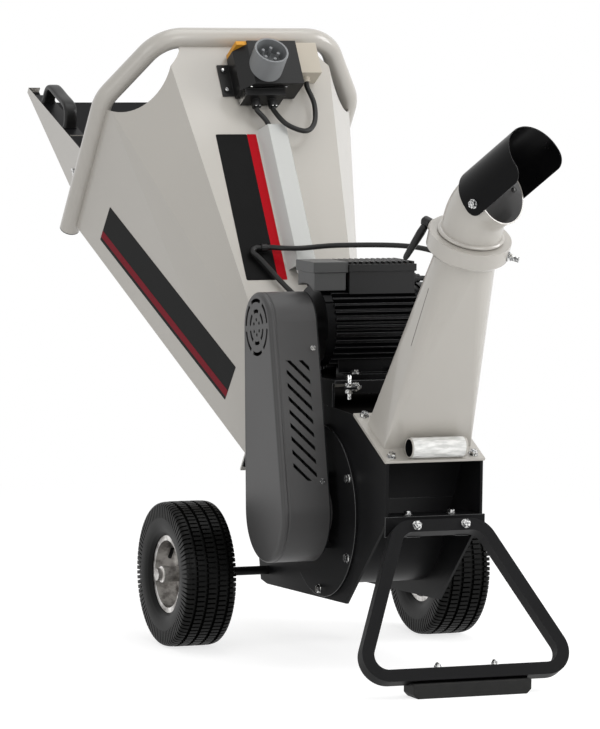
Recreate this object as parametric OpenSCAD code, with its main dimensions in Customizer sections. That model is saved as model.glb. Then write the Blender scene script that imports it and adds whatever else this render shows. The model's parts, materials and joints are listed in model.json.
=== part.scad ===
// Garden shredder: a drum chipper on two wheels, driven by an electric motor through V-belts.
// It stands on Z = 0. The discharge end faces -Y, the feed end +Y, and X runs along the axle.
// Sizes are in millimetres and degrees.

/* [Wheels and axle] */
// Outer diameter of the tyres
tyre_d = 330; // [318:1:342]
// Width of the tyres
tyre_w = 120; // [114:1:126]
// Diameter over the rim flanges
rim_d = 176; // [170:1:182]
// Width over the rim flanges
rim_w = 92; // [88:1:96]
// Distance between the tyre centres
track = 630; // [615:1:670]
// Diameter of the axle bar
axle_d = 20; // [17:0.5:23]
// Number of tread blocks round a tyre
tread_blocks = 36; // [30:1:42]

/* [Rotor housing] */
// Width over the two side plates
housing_w = 230; // [224:1:240]
// Thickness of the side plates
plate_t = 6; // [5:0.5:8]
// Thickness of the drum wall and the other housing sheets
sheet_t = 4; // [3:0.5:5]
// Distance of the rotor axis ahead of the axle
rotor_ahead = 320; // [314:1:330]
// Height of the rotor axis above the ground
rotor_z = 340; // [336:1:350]
// Radius swept by the knife edges
rotor_r = 150; // [145:1:153]
// Gap between the knife edges and the drum wall
rotor_gap = 10; // [8:0.5:12]
// Radius of the rotor drum under the knives
drum_r = 125; // [120:1:128]
// Diameter of the round bearing plates
bearing_plate_d = 384; // [378:1:390]
// Number of bolts in each bearing plate
plate_bolts = 6; // [6:2:10]
// Diameter of the rotor shaft
shaft_d = 40; // [35:1:44]

/* [Belt drive] */
// Distance of the motor axis behind the rotor axis
motor_back = 56; // [48:1:64]
// Distance of the motor axis above the rotor axis
motor_rise = 407; // [402:1:414]
// Outer diameter of the rotor pulley
rotor_pulley_d = 180; // [172:1:186]
// Outer diameter of the motor pulley
motor_pulley_d = 120; // [112:1:126]
// Number of V-belts
belts = 3; // [2:1:3]
// Radius of the top of the belt guard
guard_top_r = 78; // [75:1:82]
// Radius of the bottom of the belt guard
guard_low_r = 112; // [108:1:116]
// Depth of the belt guard
guard_depth = 114; // [110:1:120]
// Wall of the belt guard
guard_t = 3; // [2.5:0.5:4]

/* [Motor] */
// Diameter of the motor over its fins
motor_d = 194; // [186:1:198]
// Length of the finned motor body
motor_len = 205; // [195:1:215]
// Height of the motor axis above its feet
motor_foot = 112; // [109:1:115]
// Number of fins round the motor
motor_fins = 36; // [28:1:40]
// Height of the terminal boxes over the motor axis
terminal_top = 147; // [143:1:153]

/* [Discharge] */
// Distance of the flange's front edge ahead of the rotor axis
flange_ahead = 341; // [337:1:346]
// Height of the flange's front edge above the rotor axis
flange_rise = 141; // [138:1:145]
// Slope of the flange
flange_tilt = 26.4; // [25.6:0.1:27.2]
// Depth of the flange along its slope
flange_depth = 196; // [192:1:200]
// Thickness of the flange
flange_t = 6; // [5:0.5:8]
// Length of the tapered chute along its axis
chute_len = 472; // [454:1:494]
// Sheet of the chute
chute_t = 3; // [2:0.5:4]
// Outside diameter of the collar
collar_d = 179; // [176:1:184]
// Height of the collar
collar_h = 46; // [43:1:52]
// Outside diameter of the elbow pipe
pipe_d = 132; // [128:1:136]
// Wall of the elbow pipe
pipe_t = 3; // [2:0.5:4]
// Straight length of the elbow above the collar
elbow_up = 32; // [26:1:40]
// Radius of the elbow bend
elbow_r = 104; // [100:1:110]
// Angle of the elbow bend
elbow_bend = 48; // [45:1:50]
// Turn of the elbow to the right as it stands
elbow_turn = 26; // [0:1:40]
// Tilt of the deflector above the outlet as it stands
hood_tilt = 15; // [4:1:16]
// Length of the deflector ahead of its pivot
hood_len = 157; // [145:1:165]

/* [Hopper] */
// Tilt of the hopper mouth back from upright
hopper_tilt = 34.7; // [33.5:0.1:36]
// Distance of the inlet's top edge behind the rotor axis
inlet_back = 294; // [290:1:298]
// Distance of the inlet's top edge above the rotor axis
inlet_rise = 247; // [244:1:250]
// Height of the inlet
inlet_h = 233; // [229:1:237]
// Distance from the inlet to the mouth
hopper_len = 846; // [820:1:870]
// Distance of the mouth's top edge above the inlet's top edge, along the mouth
mouth_over = 366; // [356:1:376]
// Width of the mouth between the frame tubes
mouth_w = 632; // [616:1:648]
// Width of the mouth's top edge
mouth_top_w = 420; // [410:1:430]
// Height of the sloped corners of the mouth
mouth_corner = 180; // [172:1:188]
// Height of the straight sides of the mouth frame
mouth_side = 388; // [380:1:396]
// Sheet of the hopper
hopper_t = 3; // [2:0.5:4]
// Diameter of the mouth frame tube
frame_d = 48; // [44:1:50]
// Wall of the mouth frame tube
frame_t = 2.5; // [2:0.5:3.5]

/* [Feed flap] */
// Reach of the flap behind the mouth
flap_len = 498; // [470:1:520]
// Height of the flap's side walls at the hinge
flap_side = 134; // [128:1:140]
// Sheet of the flap
flap_t = 2.5; // [2:0.5:3]
// Diameter of the flap pivot bolts
flap_pin_d = 12; // [10:0.5:14]

/* [Stand] */
// Side of the square stand tube
stand_tube = 28; // [26:1:30]
// Half width of the stand loop at the top
stand_top = 98; // [94:1:104]
// Half width of the stand loop at the bottom
stand_low = 254; // [245:1:262]
// Distance of the foot ahead of the rotor axis
foot_ahead = 528; // [520:1:540]
// Length of the foot block
foot_w = 278; // [266:1:292]
// Depth of the foot block
foot_depth = 54; // [50:1:60]
// Height of the foot block
foot_h = 32; // [30:1:35]

/* [Controls] */
// Distance of the switch box down from the mouth's top edge, along the top panel
switch_down = 110; // [104:1:118]
// Width of the switch box
switch_w = 150; // [142:1:156]
// Depth of the switch box off the panel
switch_depth = 78; // [72:1:84]
// Diameter of the power inlet collar
plug_d = 82; // [78:1:85]
// Length of the cable duct
duct_len = 390; // [370:1:400]
// Diameter of the cables
cable_d = 12; // [10:0.5:13]

/* [Hidden] */
$fn = 64;

// Clearances: a turning fit on the radius, a seat between fixed pieces, a gap between moving ones,
// and a cable's fit in its gland
run_fit = 0.05;
seat = 0.1;
free = 0.6;
cable_fit = 0.25;

// Colours of the finishes
grey_paint = [0.70, 0.69, 0.66];
black_paint = [0.10, 0.10, 0.11];
cover_black = [0.17, 0.17, 0.18];
cast_grey = [0.27, 0.27, 0.28];
rubber = [0.09, 0.09, 0.09];
steel = [0.66, 0.66, 0.67];
zinc = [0.78, 0.79, 0.80];

// Places in the wheel frame: Y = 0 on the axle, Z = 0 on the ground
axle_z = tyre_d / 2;
half_w = housing_w / 2;
inner_w = half_w - plate_t;
rotor_y = -rotor_ahead;
drum_wall_r = rotor_r + rotor_gap;
motor_y = rotor_y + motor_back;
motor_z = rotor_z + motor_rise;
flange_y = rotor_y - flange_ahead;
flange_z = rotor_z + flange_rise;
flange_mid_y = flange_y + flange_depth / 2 * cos(flange_tilt);
flange_mid_z = flange_z + flange_depth / 2 * sin(flange_tilt);
flange_back_y = flange_y + flange_depth * cos(flange_tilt);
flange_back_z = flange_z + flange_depth * sin(flange_tilt);
inlet_y = rotor_y + inlet_back;
inlet_z = rotor_z + inlet_rise;
inlet_low_y = inlet_y + inlet_h * sin(hopper_tilt);
inlet_low_z = inlet_z - inlet_h * cos(hopper_tilt);

// The part's origin lies under the middle of its length
flap_floor = mouth_corner + mouth_side - mouth_over - 38;
back_y = inlet_y + flap_floor * sin(hopper_tilt) + (hopper_len + flap_len) * cos(hopper_tilt);
pivot_z = 8;
hood_front_r = 30;
outlet_rise = flange_t + chute_len + collar_h + elbow_up + elbow_r * sin(elbow_bend)
    + pivot_z * cos(elbow_bend);
outlet_fore = elbow_r * (1 - cos(elbow_bend)) + pivot_z * sin(elbow_bend);
hood_a = elbow_bend - hood_tilt;
hood_fore = outlet_fore + hood_len * sin(hood_a) + 24 * cos(hood_a);
hood_rise = outlet_rise + hood_len * cos(hood_a) - 24 * sin(hood_a);
front_y = flange_mid_y - (19 + hood_fore * cos(elbow_turn) + 74 * sin(elbow_turn)) * cos(flange_tilt)
    - hood_rise * sin(flange_tilt) + 0.384 * hood_front_r;
middle_y = (back_y + front_y) / 2;

module placed() { translate([0, -middle_y, 0]) children(); }

// Lays a shape drawn in Y and Z flat between two X values
module across(x0, x1) {
    translate([x0, 0, 0]) rotate([90, 0, 90]) linear_extrude(x1 - x0) children();
}

// A round bar, or a ring when it has a hole, with its axis along X
module x_bar(x0, x1, d, hole = 0) {
    translate([x0, 0, 0]) rotate([0, 90, 0]) difference() {
        cylinder(h = x1 - x0, d = d);
        if (hole > 0) translate([0, 0, -1]) cylinder(h = x1 - x0 + 2, d = hole);
    }
}

// Turns a section about the X axis, from one angle to another, measured from Y towards Z
module x_arc(r, a0, a1) {
    rotate([90, 0, 90]) rotate([0, 0, a0]) rotate_extrude(angle = a1 - a0) translate([r, 0]) children();
}

module both_sides() {
    children();
    mirror([1, 0, 0]) children();
}

// A straight strip of sheet drawn between two points
module strip(p, q, t) {
    d = q - p;
    translate(p) rotate(atan2(d[1], d[0])) translate([0, -t / 2]) square([norm(d), t]);
}

// A hexagon bolt head on its washer, standing on Z = 0
module bolt_head(d) {
    cylinder(h = d * 0.2, d = d * 2.1);
    translate([0, 0, d * 0.2]) cylinder(h = d * 0.65, d = d * 1.8, $fn = 6);
}

// A tube led along straight runs and round bends. The runs lap each bend's ends, and the section of
// the bends, the second child, is a hair slimmer, so that the pieces join cleanly.
slim = 0.05;
lap = 1;
function turn_at(a, b, c) = let(u = b - a, v = c - b)
    atan2(u[0] * v[1] - u[1] * v[0], u[0] * v[0] + u[1] * v[1]);
function cut_at(p, i, r) = r * tan(abs(turn_at(p[i - 1], p[i], p[i + 1])) / 2);
module bend(p, i, r) {
    a = turn_at(p[i - 1], p[i], p[i + 1]);
    u = (p[i] - p[i - 1]) / norm(p[i] - p[i - 1]);
    translate(p[i] - u * cut_at(p, i, r)) rotate(atan2(u[1], u[0])) mirror([0, a < 0 ? 1 : 0, 0])
        translate([0, r, 0]) rotate(-90) rotate_extrude(angle = abs(a)) translate([r, 0]) children();
}
module run(p, i, cut0, cut1) {
    d = p[i + 1] - p[i];
    u = d / norm(d);
    translate(p[i] + u * cut0) rotate(atan2(u[1], u[0])) rotate([90, 0, 90])
        linear_extrude(norm(d) - cut0 - cut1) children();
}
module bent_tube(p, r) {
    last = len(p) - 2;
    for (i = [0 : last])
        run(p, i, i == 0 ? 0 : cut_at(p, i, r) - lap, i == last ? 0 : cut_at(p, i + 1, r) - lap) children(0);
    for (i = [1 : last]) bend(p, i, r) children(1);
}
module ring_section(d, t) difference() {
    circle(d = d);
    if (t > 0) circle(d = d - 2 * t);
}

// A flexible round cable through a list of points
function unit(v) = v / norm(v);
function between(a, b, c, d, t) = 0.5 * (2 * b + (c - a) * t + (2 * a - 5 * b + 4 * c - d) * t * t
    + (3 * b - a - 3 * c + d) * t * t * t);
function smooth(p) = let(m = len(p) - 1) concat(
    [for (i = [0 : m - 1], j = [0 : 4]) between(p[max(i - 1, 0)], p[i], p[i + 1], p[min(i + 2, m)], j / 5)],
    [p[m]]);
module cable(points, d, ref = [0, 0, 1]) {
    path = smooth(points);
    m = len(path) - 1;
    n = 10;
    ring = [for (k = [0 : m]) let(
            t = unit(path[min(k + 1, m)] - path[max(k - 1, 0)]),
            u = unit(cross(ref, t)),
            w = cross(t, u))
        for (i = [0 : n - 1]) path[k] + d / 2 * (cos(i * 360 / n) * u + sin(i * 360 / n) * w)];
    sides = [for (k = [0 : m - 1], i = [0 : n - 1]) let(j = (i + 1) % n)
        for (f = [[k * n + i, k * n + n + i, k * n + n + j], [k * n + i, k * n + n + j, k * n + j]]) f];
    ends = [[for (i = [0 : n - 1]) i], [for (i = [0 : n - 1]) m * n + n - 1 - i]];
    polyhedron(ring, concat(sides, ends));
}

// Wheels and axle

// The tyre's section: a squarish crown that narrows to the beads on the rim
bead_r = rim_d / 2 - 8;
bead_x = rim_w / 2 - 3;
bead_gap = 0.4;
tyre_mid_r = (bead_r + tyre_d / 2) / 2 + 3;
tyre_half_h = tyre_d / 2 - tyre_mid_r;
function squarish(v) = sign(v) * pow(abs(v), 0.66);
function crown() = [for (a = [-52 : 12 : 232])
    [tyre_mid_r + tyre_half_h * squarish(sin(a)), tyre_w / 2 * squarish(cos(a))]];
groove_w = 5;
groove_deep = 6;
module tyre(x) {
    translate([x, 0, axle_z]) rotate([0, 90, 0]) difference() {
        rotate_extrude() polygon(concat([[bead_r, bead_x], [rim_d / 2 + bead_gap, bead_x]], crown(),
            [[rim_d / 2 + bead_gap, -bead_x], [bead_r, -bead_x]]));
        for (z = [-0.32, -0.11, 0.11, 0.32]) translate([0, 0, z * tyre_w - groove_w / 2]) difference() {
            cylinder(h = groove_w, r = tyre_d / 2 + 1);
            translate([0, 0, -1]) cylinder(h = groove_w + 2, r = tyre_d / 2 - groove_deep);
        }
        for (i = [0 : tread_blocks - 1]) rotate(i * 360 / tread_blocks)
            translate([tyre_d / 2 - groove_deep, -groove_w / 2, -tyre_w / 2]) cube([20, groove_w, tyre_w]);
    }
}
module left_tyre() color(rubber) placed() tyre(-track / 2);
module right_tyre() color(rubber) placed() tyre(track / 2);

// A deep-dished steel rim with its hub tube on the axle
hub_len = rim_w + 20;
module rim(x, side) {
    wall = 3;
    seat_r = bead_r - bead_gap;
    translate([x, 0, axle_z]) mirror([side < 0 ? 1 : 0, 0, 0]) {
        x_bar(-rim_w / 2, rim_w / 2, 2 * seat_r, 2 * (seat_r - wall));
        for (s = [-1, 1]) translate([s * (rim_w / 2 - 1.5), 0, 0]) x_bar(-1.5, 1.5, rim_d, 2 * (seat_r - wall));
        difference() {
            translate([-6, 0, 0]) x_bar(-2, 2, 2 * (seat_r - wall) + 2, axle_d + 10);
            for (a = [45 : 90 : 315]) rotate([a, 0, 0]) translate([-6, 0, seat_r * 0.62]) x_bar(-3, 3, 18);
        }
        x_bar(-hub_len / 2, hub_len / 2, axle_d + 16, axle_d + 2 * run_fit);
        // The valve stem leans out of the dish
        rotate([-50, 0, 0]) translate([10, 0, seat_r - wall + 1]) rotate([0, 150, 0]) cylinder(h = 30, d = 9);
    }
}
module left_rim() color(steel) placed() rim(-track / 2, -1);
module right_rim() color(steel) placed() rim(track / 2, 1);

axle_end = track / 2 + hub_len / 2 + 14;
module axle() color(black_paint) placed() translate([0, 0, axle_z]) x_bar(-axle_end, axle_end, axle_d);

// Clamp collars keep the hubs from sliding inwards
stop_w = 14;
module axle_collars() color(black_paint) placed() translate([0, 0, axle_z]) both_sides()
    translate([track / 2 - hub_len / 2 - stop_w - free, 0, 0]) x_bar(0, stop_w, axle_d + 16, axle_d + 2 * run_fit);

// Caps close the axle ends
module axle_caps() color(zinc) placed() translate([0, 0, axle_z]) both_sides() {
    x0 = track / 2 + hub_len / 2 + free;
    difference() {
        union() {
            x_bar(x0, x0 + 4, axle_d + 18);
            x_bar(x0, axle_end + 3, axle_d + 8);
        }
        x_bar(x0 - 1, axle_end, axle_d + 2 * run_fit);
    }
}

// Rotor housing

module hopper_space() translate([0, inlet_y, inlet_z]) rotate([hopper_tilt - 90, 0, 0]) children();
module discharge_space() translate([0, flange_mid_y, flange_mid_z]) rotate([flange_tilt, 0, 0]) children();

// A side plate with the strip that bolts to the hopper's flange
shelf_z = flange_z - 116;
module side_plate() {
    difference() {
        across(inner_w, half_w) polygon([[inlet_y, inlet_z], [inlet_low_y, inlet_low_z],
            [38, axle_z - 26], [0, axle_z - 32], [rotor_y - 134, rotor_z - bearing_plate_d / 2],
            [flange_y, shelf_z - 14], [flange_y, flange_z], [flange_back_y, flange_back_z]]);
        translate([0, rotor_y, rotor_z]) x_bar(inner_w - 1, half_w + 1, 2 * drum_wall_r);
        translate([0, 0, axle_z]) x_bar(inner_w - 1, half_w + 1, axle_d + 2 * run_fit);
    }
    hopper_space() translate([half_w - lap, 0, -plate_t]) cube([22 + lap, inlet_h, plate_t]);
}
module left_side_plate() color(black_paint) placed() mirror([1, 0, 0]) side_plate();
module right_side_plate() color(black_paint) placed() side_plate();

// The sheets between the side plates: drum wall, feed floor, knife seat, front panel and top
anvil_a = -19;
anvil = [rotor_y + (rotor_r + 8) * cos(anvil_a), rotor_z + (rotor_r + 8) * sin(anvil_a)];
floor_back = [inlet_low_y - 4, inlet_low_z - sheet_t / 2];
floor_a = atan2(floor_back[1] - anvil[1], floor_back[0] - anvil[0]);
knife_t = 12;
function by_anvil(x, y) = anvil + [x * cos(floor_a) - y * sin(floor_a), x * sin(floor_a) + y * cos(floor_a)];
wall_r = drum_wall_r + sheet_t / 2;
wall_end_a = -27;
wall_end = [rotor_y + wall_r * cos(wall_end_a), rotor_z + wall_r * sin(wall_end_a)];
drum_front = [rotor_y - wall_r, rotor_z];
panel_low = [flange_y + 136, shelf_z + 24];
panel_top = [flange_y + 79, flange_z + 79 * tan(flange_tilt) - sheet_t];
top_back = [inlet_y - 4, inlet_z - sheet_t];
top_front = [flange_back_y + 4, flange_back_z - sheet_t];
module housing_shell() color(black_paint) placed() across(-inner_w, inner_w) {
    intersection() {
        translate([rotor_y, rotor_z]) difference() {
            circle(drum_wall_r + sheet_t);
            circle(drum_wall_r);
        }
        translate([rotor_y, rotor_z]) polygon([[0, 0], [-250, 0], [-250, -250], [250, -250],
            [250, 250 * tan(wall_end_a)]]);
    }
    strip(drum_front, panel_low, sheet_t);
    strip(panel_low, panel_top, sheet_t);
    strip(floor_back, anvil, sheet_t);
    strip(wall_end, by_anvil(44, -sheet_t - knife_t), sheet_t);
    strip(by_anvil(44, -sheet_t - knife_t), by_anvil(90, -sheet_t / 2), sheet_t);
    strip(top_back, top_front, sheet_t);
}

// The fixed counter knife under the end of the feed floor
knife_w = 2 * inner_w - 2;
module counter_knife() color(steel) placed() across(-knife_w / 2, knife_w / 2)
    translate(anvil) rotate(floor_a) translate([0, -sheet_t / 2 - knife_t])
        polygon([[-2, knife_t], [-5, knife_t - 2], [10, 0], [40, 0], [40, knife_t]]);

module bearing_plate() translate([0, rotor_y, rotor_z]) x_bar(half_w, half_w + plate_t, bearing_plate_d, shaft_d + 40);
module left_bearing_plate() color(black_paint) placed() mirror([1, 0, 0]) bearing_plate();
module right_bearing_plate() color(black_paint) placed() bearing_plate();

// Flanged bearing units: a round flange, a raised boss and the bore for the shaft
bearing_w = 20;
bearing_d = shaft_d + 92;
module bearing() translate([half_w + plate_t, rotor_y, rotor_z]) difference() {
    union() {
        x_bar(0, 9, bearing_d);
        x_bar(0, bearing_w, shaft_d + 44);
    }
    x_bar(-1, bearing_w + 1, shaft_d + 2 * run_fit);
}
module left_bearing() color(cast_grey) placed() mirror([1, 0, 0]) bearing();
module right_bearing() color(cast_grey) placed() bearing();

// Bolts of the bearing plates, bearings, discharge flange and hopper flange, and the collar's stop
bolt_d = 10;
plate_bolt_r = (bearing_plate_d / 2 + drum_wall_r) / 2;
flange_side = half_w + 4;
module housing_bolts() color(zinc) placed() {
    both_sides() translate([half_w + plate_t, rotor_y, rotor_z]) {
        for (i = [0 : plate_bolts - 1]) rotate([i * 360 / plate_bolts, 0, 0])
            translate([0, 0, plate_bolt_r]) rotate([0, 90, 0]) bolt_head(bolt_d);
        for (a = [45 : 90 : 315]) rotate([a, 0, 0]) translate([9, 0, bearing_d / 2 - 11])
            rotate([0, 90, 0]) bolt_head(8);
    }
    both_sides() discharge_space() for (y = [18, flange_depth - 12])
        translate([half_w - 17, y - flange_depth / 2, flange_t]) bolt_head(bolt_d);
    both_sides() hopper_space() for (y = [0.2, 0.5, 0.8])
        translate([half_w + 11, y * inlet_h, hopper_flange_t]) bolt_head(8);
    collar_space() rotate(-38) translate([collar_d / 2, 0, collar_h / 2]) rotate([0, 90, 0]) {
        bolt_head(bolt_d);
        translate([0, 0, bolt_d * 0.85]) cylinder(h = 16, d = bolt_d * 1.2);
    }
}

// Rotor

pulley_right = half_w + plate_t + bearing_w + 18;
guard_back_x = half_w + plate_t + bearing_w + 4;
guard_face_x = guard_back_x + guard_depth;
groove_pitch = 17;
pulley_w = belts * groove_pitch + 4;
module rotor_shaft() color(steel) placed() translate([0, rotor_y, rotor_z])
    x_bar(-pulley_right - pulley_w - 6, half_w + plate_t + bearing_w + 8, shaft_d);

drum_w = 2 * inner_w - 12;
flat_r = drum_r - 13;
knife_tip = sqrt(pow(rotor_r, 2) - pow(flat_r + knife_t, 2));
rotor_rest = 40;
module rotor_drum() color(cast_grey) placed() translate([0, rotor_y, rotor_z]) difference() {
    x_bar(-drum_w / 2, drum_w / 2, 2 * drum_r, shaft_d + 2 * run_fit);
    for (a = [0, 180]) rotate([a + rotor_rest, 0, 0])
        translate([-drum_w / 2 - 1, -drum_r, flat_r]) cube([drum_w + 2, 2 * drum_r, drum_r]);
}
module rotor_knives() color(steel) placed() translate([0, rotor_y, rotor_z])
    for (a = [0, 180]) rotate([a + rotor_rest, 0, 0]) {
        across(-drum_w / 2, drum_w / 2) polygon([[-30, flat_r], [knife_tip - 16, flat_r],
            [knife_tip, flat_r + knife_t], [-30, flat_r + knife_t]]);
        for (x = [-0.3, 0, 0.3]) translate([x * drum_w, 8, flat_r + knife_t])
            cylinder(h = 7, d = 18, $fn = 6);
    }

// Belt drive

belt_h = 10;
belt_top = 13;
belt_low = 8;
belt_gap = 0.6;
function groove_at(i) = pulley_right + 2 + groove_pitch * (i + 0.5);

// A pulley whose V-grooves leave the belt gap round each belt
module pulley(d, bore) rotate([0, -90, 0]) rotate_extrude() difference() {
    translate([bore / 2 + run_fit, pulley_right]) square([d / 2 - bore / 2 - run_fit, pulley_w]);
    for (i = [0 : belts - 1]) translate([d / 2, groove_at(i)])
        polygon([[1, -belt_top / 2 - belt_gap - 0.4], [-belt_h - belt_gap, -belt_low / 2 - belt_gap],
            [-belt_h - belt_gap, belt_low / 2 + belt_gap], [1, belt_top / 2 + belt_gap + 0.4]]);
}
module rotor_pulley() color(cast_grey) placed() translate([0, rotor_y, rotor_z])
    pulley(rotor_pulley_d, shaft_d);
motor_shaft_d = 28;
module motor_pulley() color(cast_grey) placed() translate([0, motor_y, motor_z])
    pulley(motor_pulley_d, motor_shaft_d);

// The drive plane: the rotor axis at the origin and the motor axis on local Y
drive_len = norm([motor_back, motor_rise]);
module drive_space() translate([0, rotor_y, rotor_z]) rotate([atan2(motor_rise, motor_back), 0, 0]) children();

// The straight run on the front side between two circles round the axes; local X is outwards,
// local Y is X, and local Z runs from the rotor to the motor
function touch_a(low_r, top_r) = acos((low_r - top_r) / drive_len);
module front_run(low_r, top_r) {
    a = touch_a(low_r, top_r);
    multmatrix([[0, 1, 0, 0], [cos(a), 0, sin(a), low_r * cos(a)], [sin(a), 0, -cos(a), low_r * sin(a)],
        [0, 0, 0, 1]]) children();
}

// A section led round both axes. The straight runs, the first child, may lap the bends, the second.
module loop_round(low_r, top_r, over = 0) {
    a = touch_a(low_r, top_r);
    run_len = drive_len * sin(a) + 2 * over;
    front_run(low_r, top_r) translate([0, 0, -over]) linear_extrude(run_len) children(0);
    multmatrix([[0, 1, 0, 0], [cos(a), 0, -sin(a), drive_len + top_r * cos(a)],
        [-sin(a), 0, -cos(a), -top_r * sin(a)], [0, 0, 0, 1]])
        translate([0, 0, -over]) linear_extrude(run_len) children(0);
    x_arc(low_r, a, 360 - a) children($children - 1);
    translate([0, drive_len, 0]) x_arc(top_r, -a, a) children($children - 1);
}

// The area inside such a loop, drawn in the drive plane
module loop_area(low_r, top_r) {
    a = touch_a(low_r, top_r);
    circle(low_r);
    translate([drive_len, 0]) circle(top_r);
    polygon([low_r * [cos(a), sin(a)], [drive_len + top_r * cos(a), top_r * sin(a)],
        [drive_len + top_r * cos(a), -top_r * sin(a)], low_r * [cos(a), -sin(a)]]);
}

module drive_belts() color(rubber) placed() drive_space() for (i = [0 : belts - 1])
    loop_round(rotor_pulley_d / 2, motor_pulley_d / 2) translate([0, -groove_at(i)])
        polygon([[0, -belt_top / 2], [-belt_h, -belt_low / 2], [-belt_h, belt_low / 2], [0, belt_top / 2]]);

// Lugs of the back plate inside the guard's walls, where the guard is screwed on
lug_runs = [54, 350];
module both_runs() {
    front_run(guard_low_r, guard_top_r) children();
    mirror([0, 0, 1]) front_run(guard_low_r, guard_top_r) children();
}
module guard_back() color(black_paint) placed() drive_space() {
    difference() {
        across(-guard_back_x - 3, -guard_back_x) loop_area(guard_low_r, guard_top_r);
        x_bar(-guard_back_x - 4, -guard_back_x + 1, shaft_d + 52);
        translate([0, drive_len, 0]) x_bar(-guard_back_x - 4, -guard_back_x + 1, motor_shaft_d + 30);
    }
    for (a = [60, 180, 300]) rotate([a, 0, 0]) translate([0, 0, 88])
        x_bar(-guard_back_x, -half_w - plate_t, 18);
    both_runs() for (z = lug_runs) translate([-guard_t - 3 - seat, -guard_back_x - 24, z - 11])
        cube([3, 23, 22]);
}

// The moulded guard: rounded edge and shadow groove, vent rosette over the motor pulley, slots in the
// front wall. The inset shrinks the wall's section from both sides.
edge_r = 9;
rebate = 4;
groove_in = 1.5;
module guard_section(inset) {
    front = -guard_face_x;
    polygon(concat([[-inset, -guard_back_x - 3], [-inset, front + edge_r + 9],
            [-groove_in - inset, front + edge_r + 7], [-groove_in - inset, front + edge_r + 5],
            [-inset, front + edge_r + 3]],
        [for (a = [0 : 15 : 90]) [(edge_r - inset) * cos(a) - edge_r, front + edge_r - (edge_r - inset) * sin(a)]],
        [[-edge_r - rebate, front + inset], [-edge_r - rebate, front + guard_t - inset]],
        [for (a = [90 : -15 : 0]) [(edge_r - guard_t + inset) * cos(a) - edge_r,
            front + edge_r - (edge_r - guard_t + inset) * sin(a)]],
        [[inset - guard_t, -guard_back_x - 3]]));
}
module belt_guard() color(cover_black) placed() drive_space() difference() {
    union() {
        loop_round(guard_low_r, guard_top_r, lap) {
            guard_section(0);
            guard_section(2 * slim);
        }
        across(-guard_face_x + 3 * slim, -guard_face_x + guard_t - 3 * slim)
            loop_area(guard_low_r - edge_r - rebate / 2, guard_top_r - edge_r - rebate / 2);
    }
    translate([0, drive_len, 0]) for (i = [0 : 5]) rotate([i * 60, 0, 0]) {
        x_arc(guard_top_r - 22, -24, 24) translate([0, -guard_face_x - 1]) square([8, guard_t + 2]);
        x_arc(guard_top_r - 46, -21, 21) translate([0, -guard_face_x - 1]) square([8, guard_t + 2]);
        rotate([30, 0, 0]) translate([0, 0, 17]) x_bar(-guard_face_x - 1, -guard_face_x + guard_t + 1, 8);
    }
    front_run(guard_low_r, guard_top_r) across(-guard_t - 2, 2) intersection() {
        for (i = [0 : 9]) translate([-guard_face_x + 32, 364 - 29.6 * i])
            polygon([[0, 0], [55, -55], [55, -65], [0, -10]]);
        translate([-guard_face_x, 56]) square([guard_depth, 268]);
    }
}
module guard_screws() color(zinc) placed() drive_space() both_runs() for (z = lug_runs)
    translate([0, -guard_back_x - 16, z]) x_bar(0, 4, 12);

// Motor

motor_left = -105;
motor_right = motor_left + motor_len;
shield_t = 20;
core_r = motor_d / 2 - 12;
module motor_space() translate([0, motor_y, motor_z]) children();

// The finned body on two cast feet
module motor_body() color(black_paint) placed() motor_space() {
    step = 360 / motor_fins;
    across(motor_left, motor_right) difference() {
        polygon([for (i = [0 : motor_fins - 1])
            for (q = [[0.25, core_r], [0.5, motor_d / 2], [0.75, motor_d / 2], [1, core_r]])
                q[1] * [cos((i + q[0]) * step), sin((i + q[0]) * step)]]);
        circle(d = motor_shaft_d + 2 * free);
    }
    for (s = [-1, 1]) mirror([0, s < 0 ? 1 : 0, 0]) {
        translate([motor_left + 20, 46, -motor_foot]) cube([motor_len - 40, 12, motor_foot - 40]);
        translate([motor_left + 20, 46, -motor_foot]) cube([motor_len - 40, 54, 12]);
    }
}

// End shields with the bearing bores of the motor shaft
module motor_shields() color(cast_grey) placed() motor_space() for (x = [motor_left - shield_t, motor_right])
    difference() {
        union() {
            x_bar(x, x + shield_t, motor_d - 12);
            for (a = [45 : 90 : 315]) rotate([a, 0, 0]) translate([x, -9, motor_d / 2 - 20])
                cube([shield_t, 18, 17]);
        }
        x_bar(x - 1, x + shield_t + 1, motor_shaft_d + 2 * run_fit);
    }

cowl_len = 76;
cowl_x = motor_right + shield_t;
module fan_cowl() color(black_paint) placed() motor_space() difference() {
    x_bar(cowl_x, cowl_x + cowl_len, motor_d - 4);
    x_bar(cowl_x - 1, cowl_x + cowl_len - 2, motor_d - 8);
    for (r = [26, 44, 62], i = [0 : 5]) rotate([i * 60, 0, 0]) x_arc(r, -24, 24)
        translate([0, cowl_x + cowl_len - 3]) square([8, 4]);
}
module motor_fan() color(black_paint) placed() motor_space() {
    x_bar(cowl_x + 14, cowl_x + 44, motor_shaft_d + 20, motor_shaft_d + 2 * run_fit);
    x_bar(cowl_x + 14, cowl_x + 18, motor_d - 50, motor_shaft_d + 18);
    for (i = [0 : 7]) rotate([i * 45, 0, 0]) translate([cowl_x + 14, -1.5, motor_shaft_d / 2 + 8])
        cube([28, 3, motor_d / 2 - motor_shaft_d / 2 - 24]);
}
module motor_shaft() color(steel) placed() motor_space()
    x_bar(-pulley_right - pulley_w - 5, cowl_x + 48, motor_shaft_d);

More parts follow.
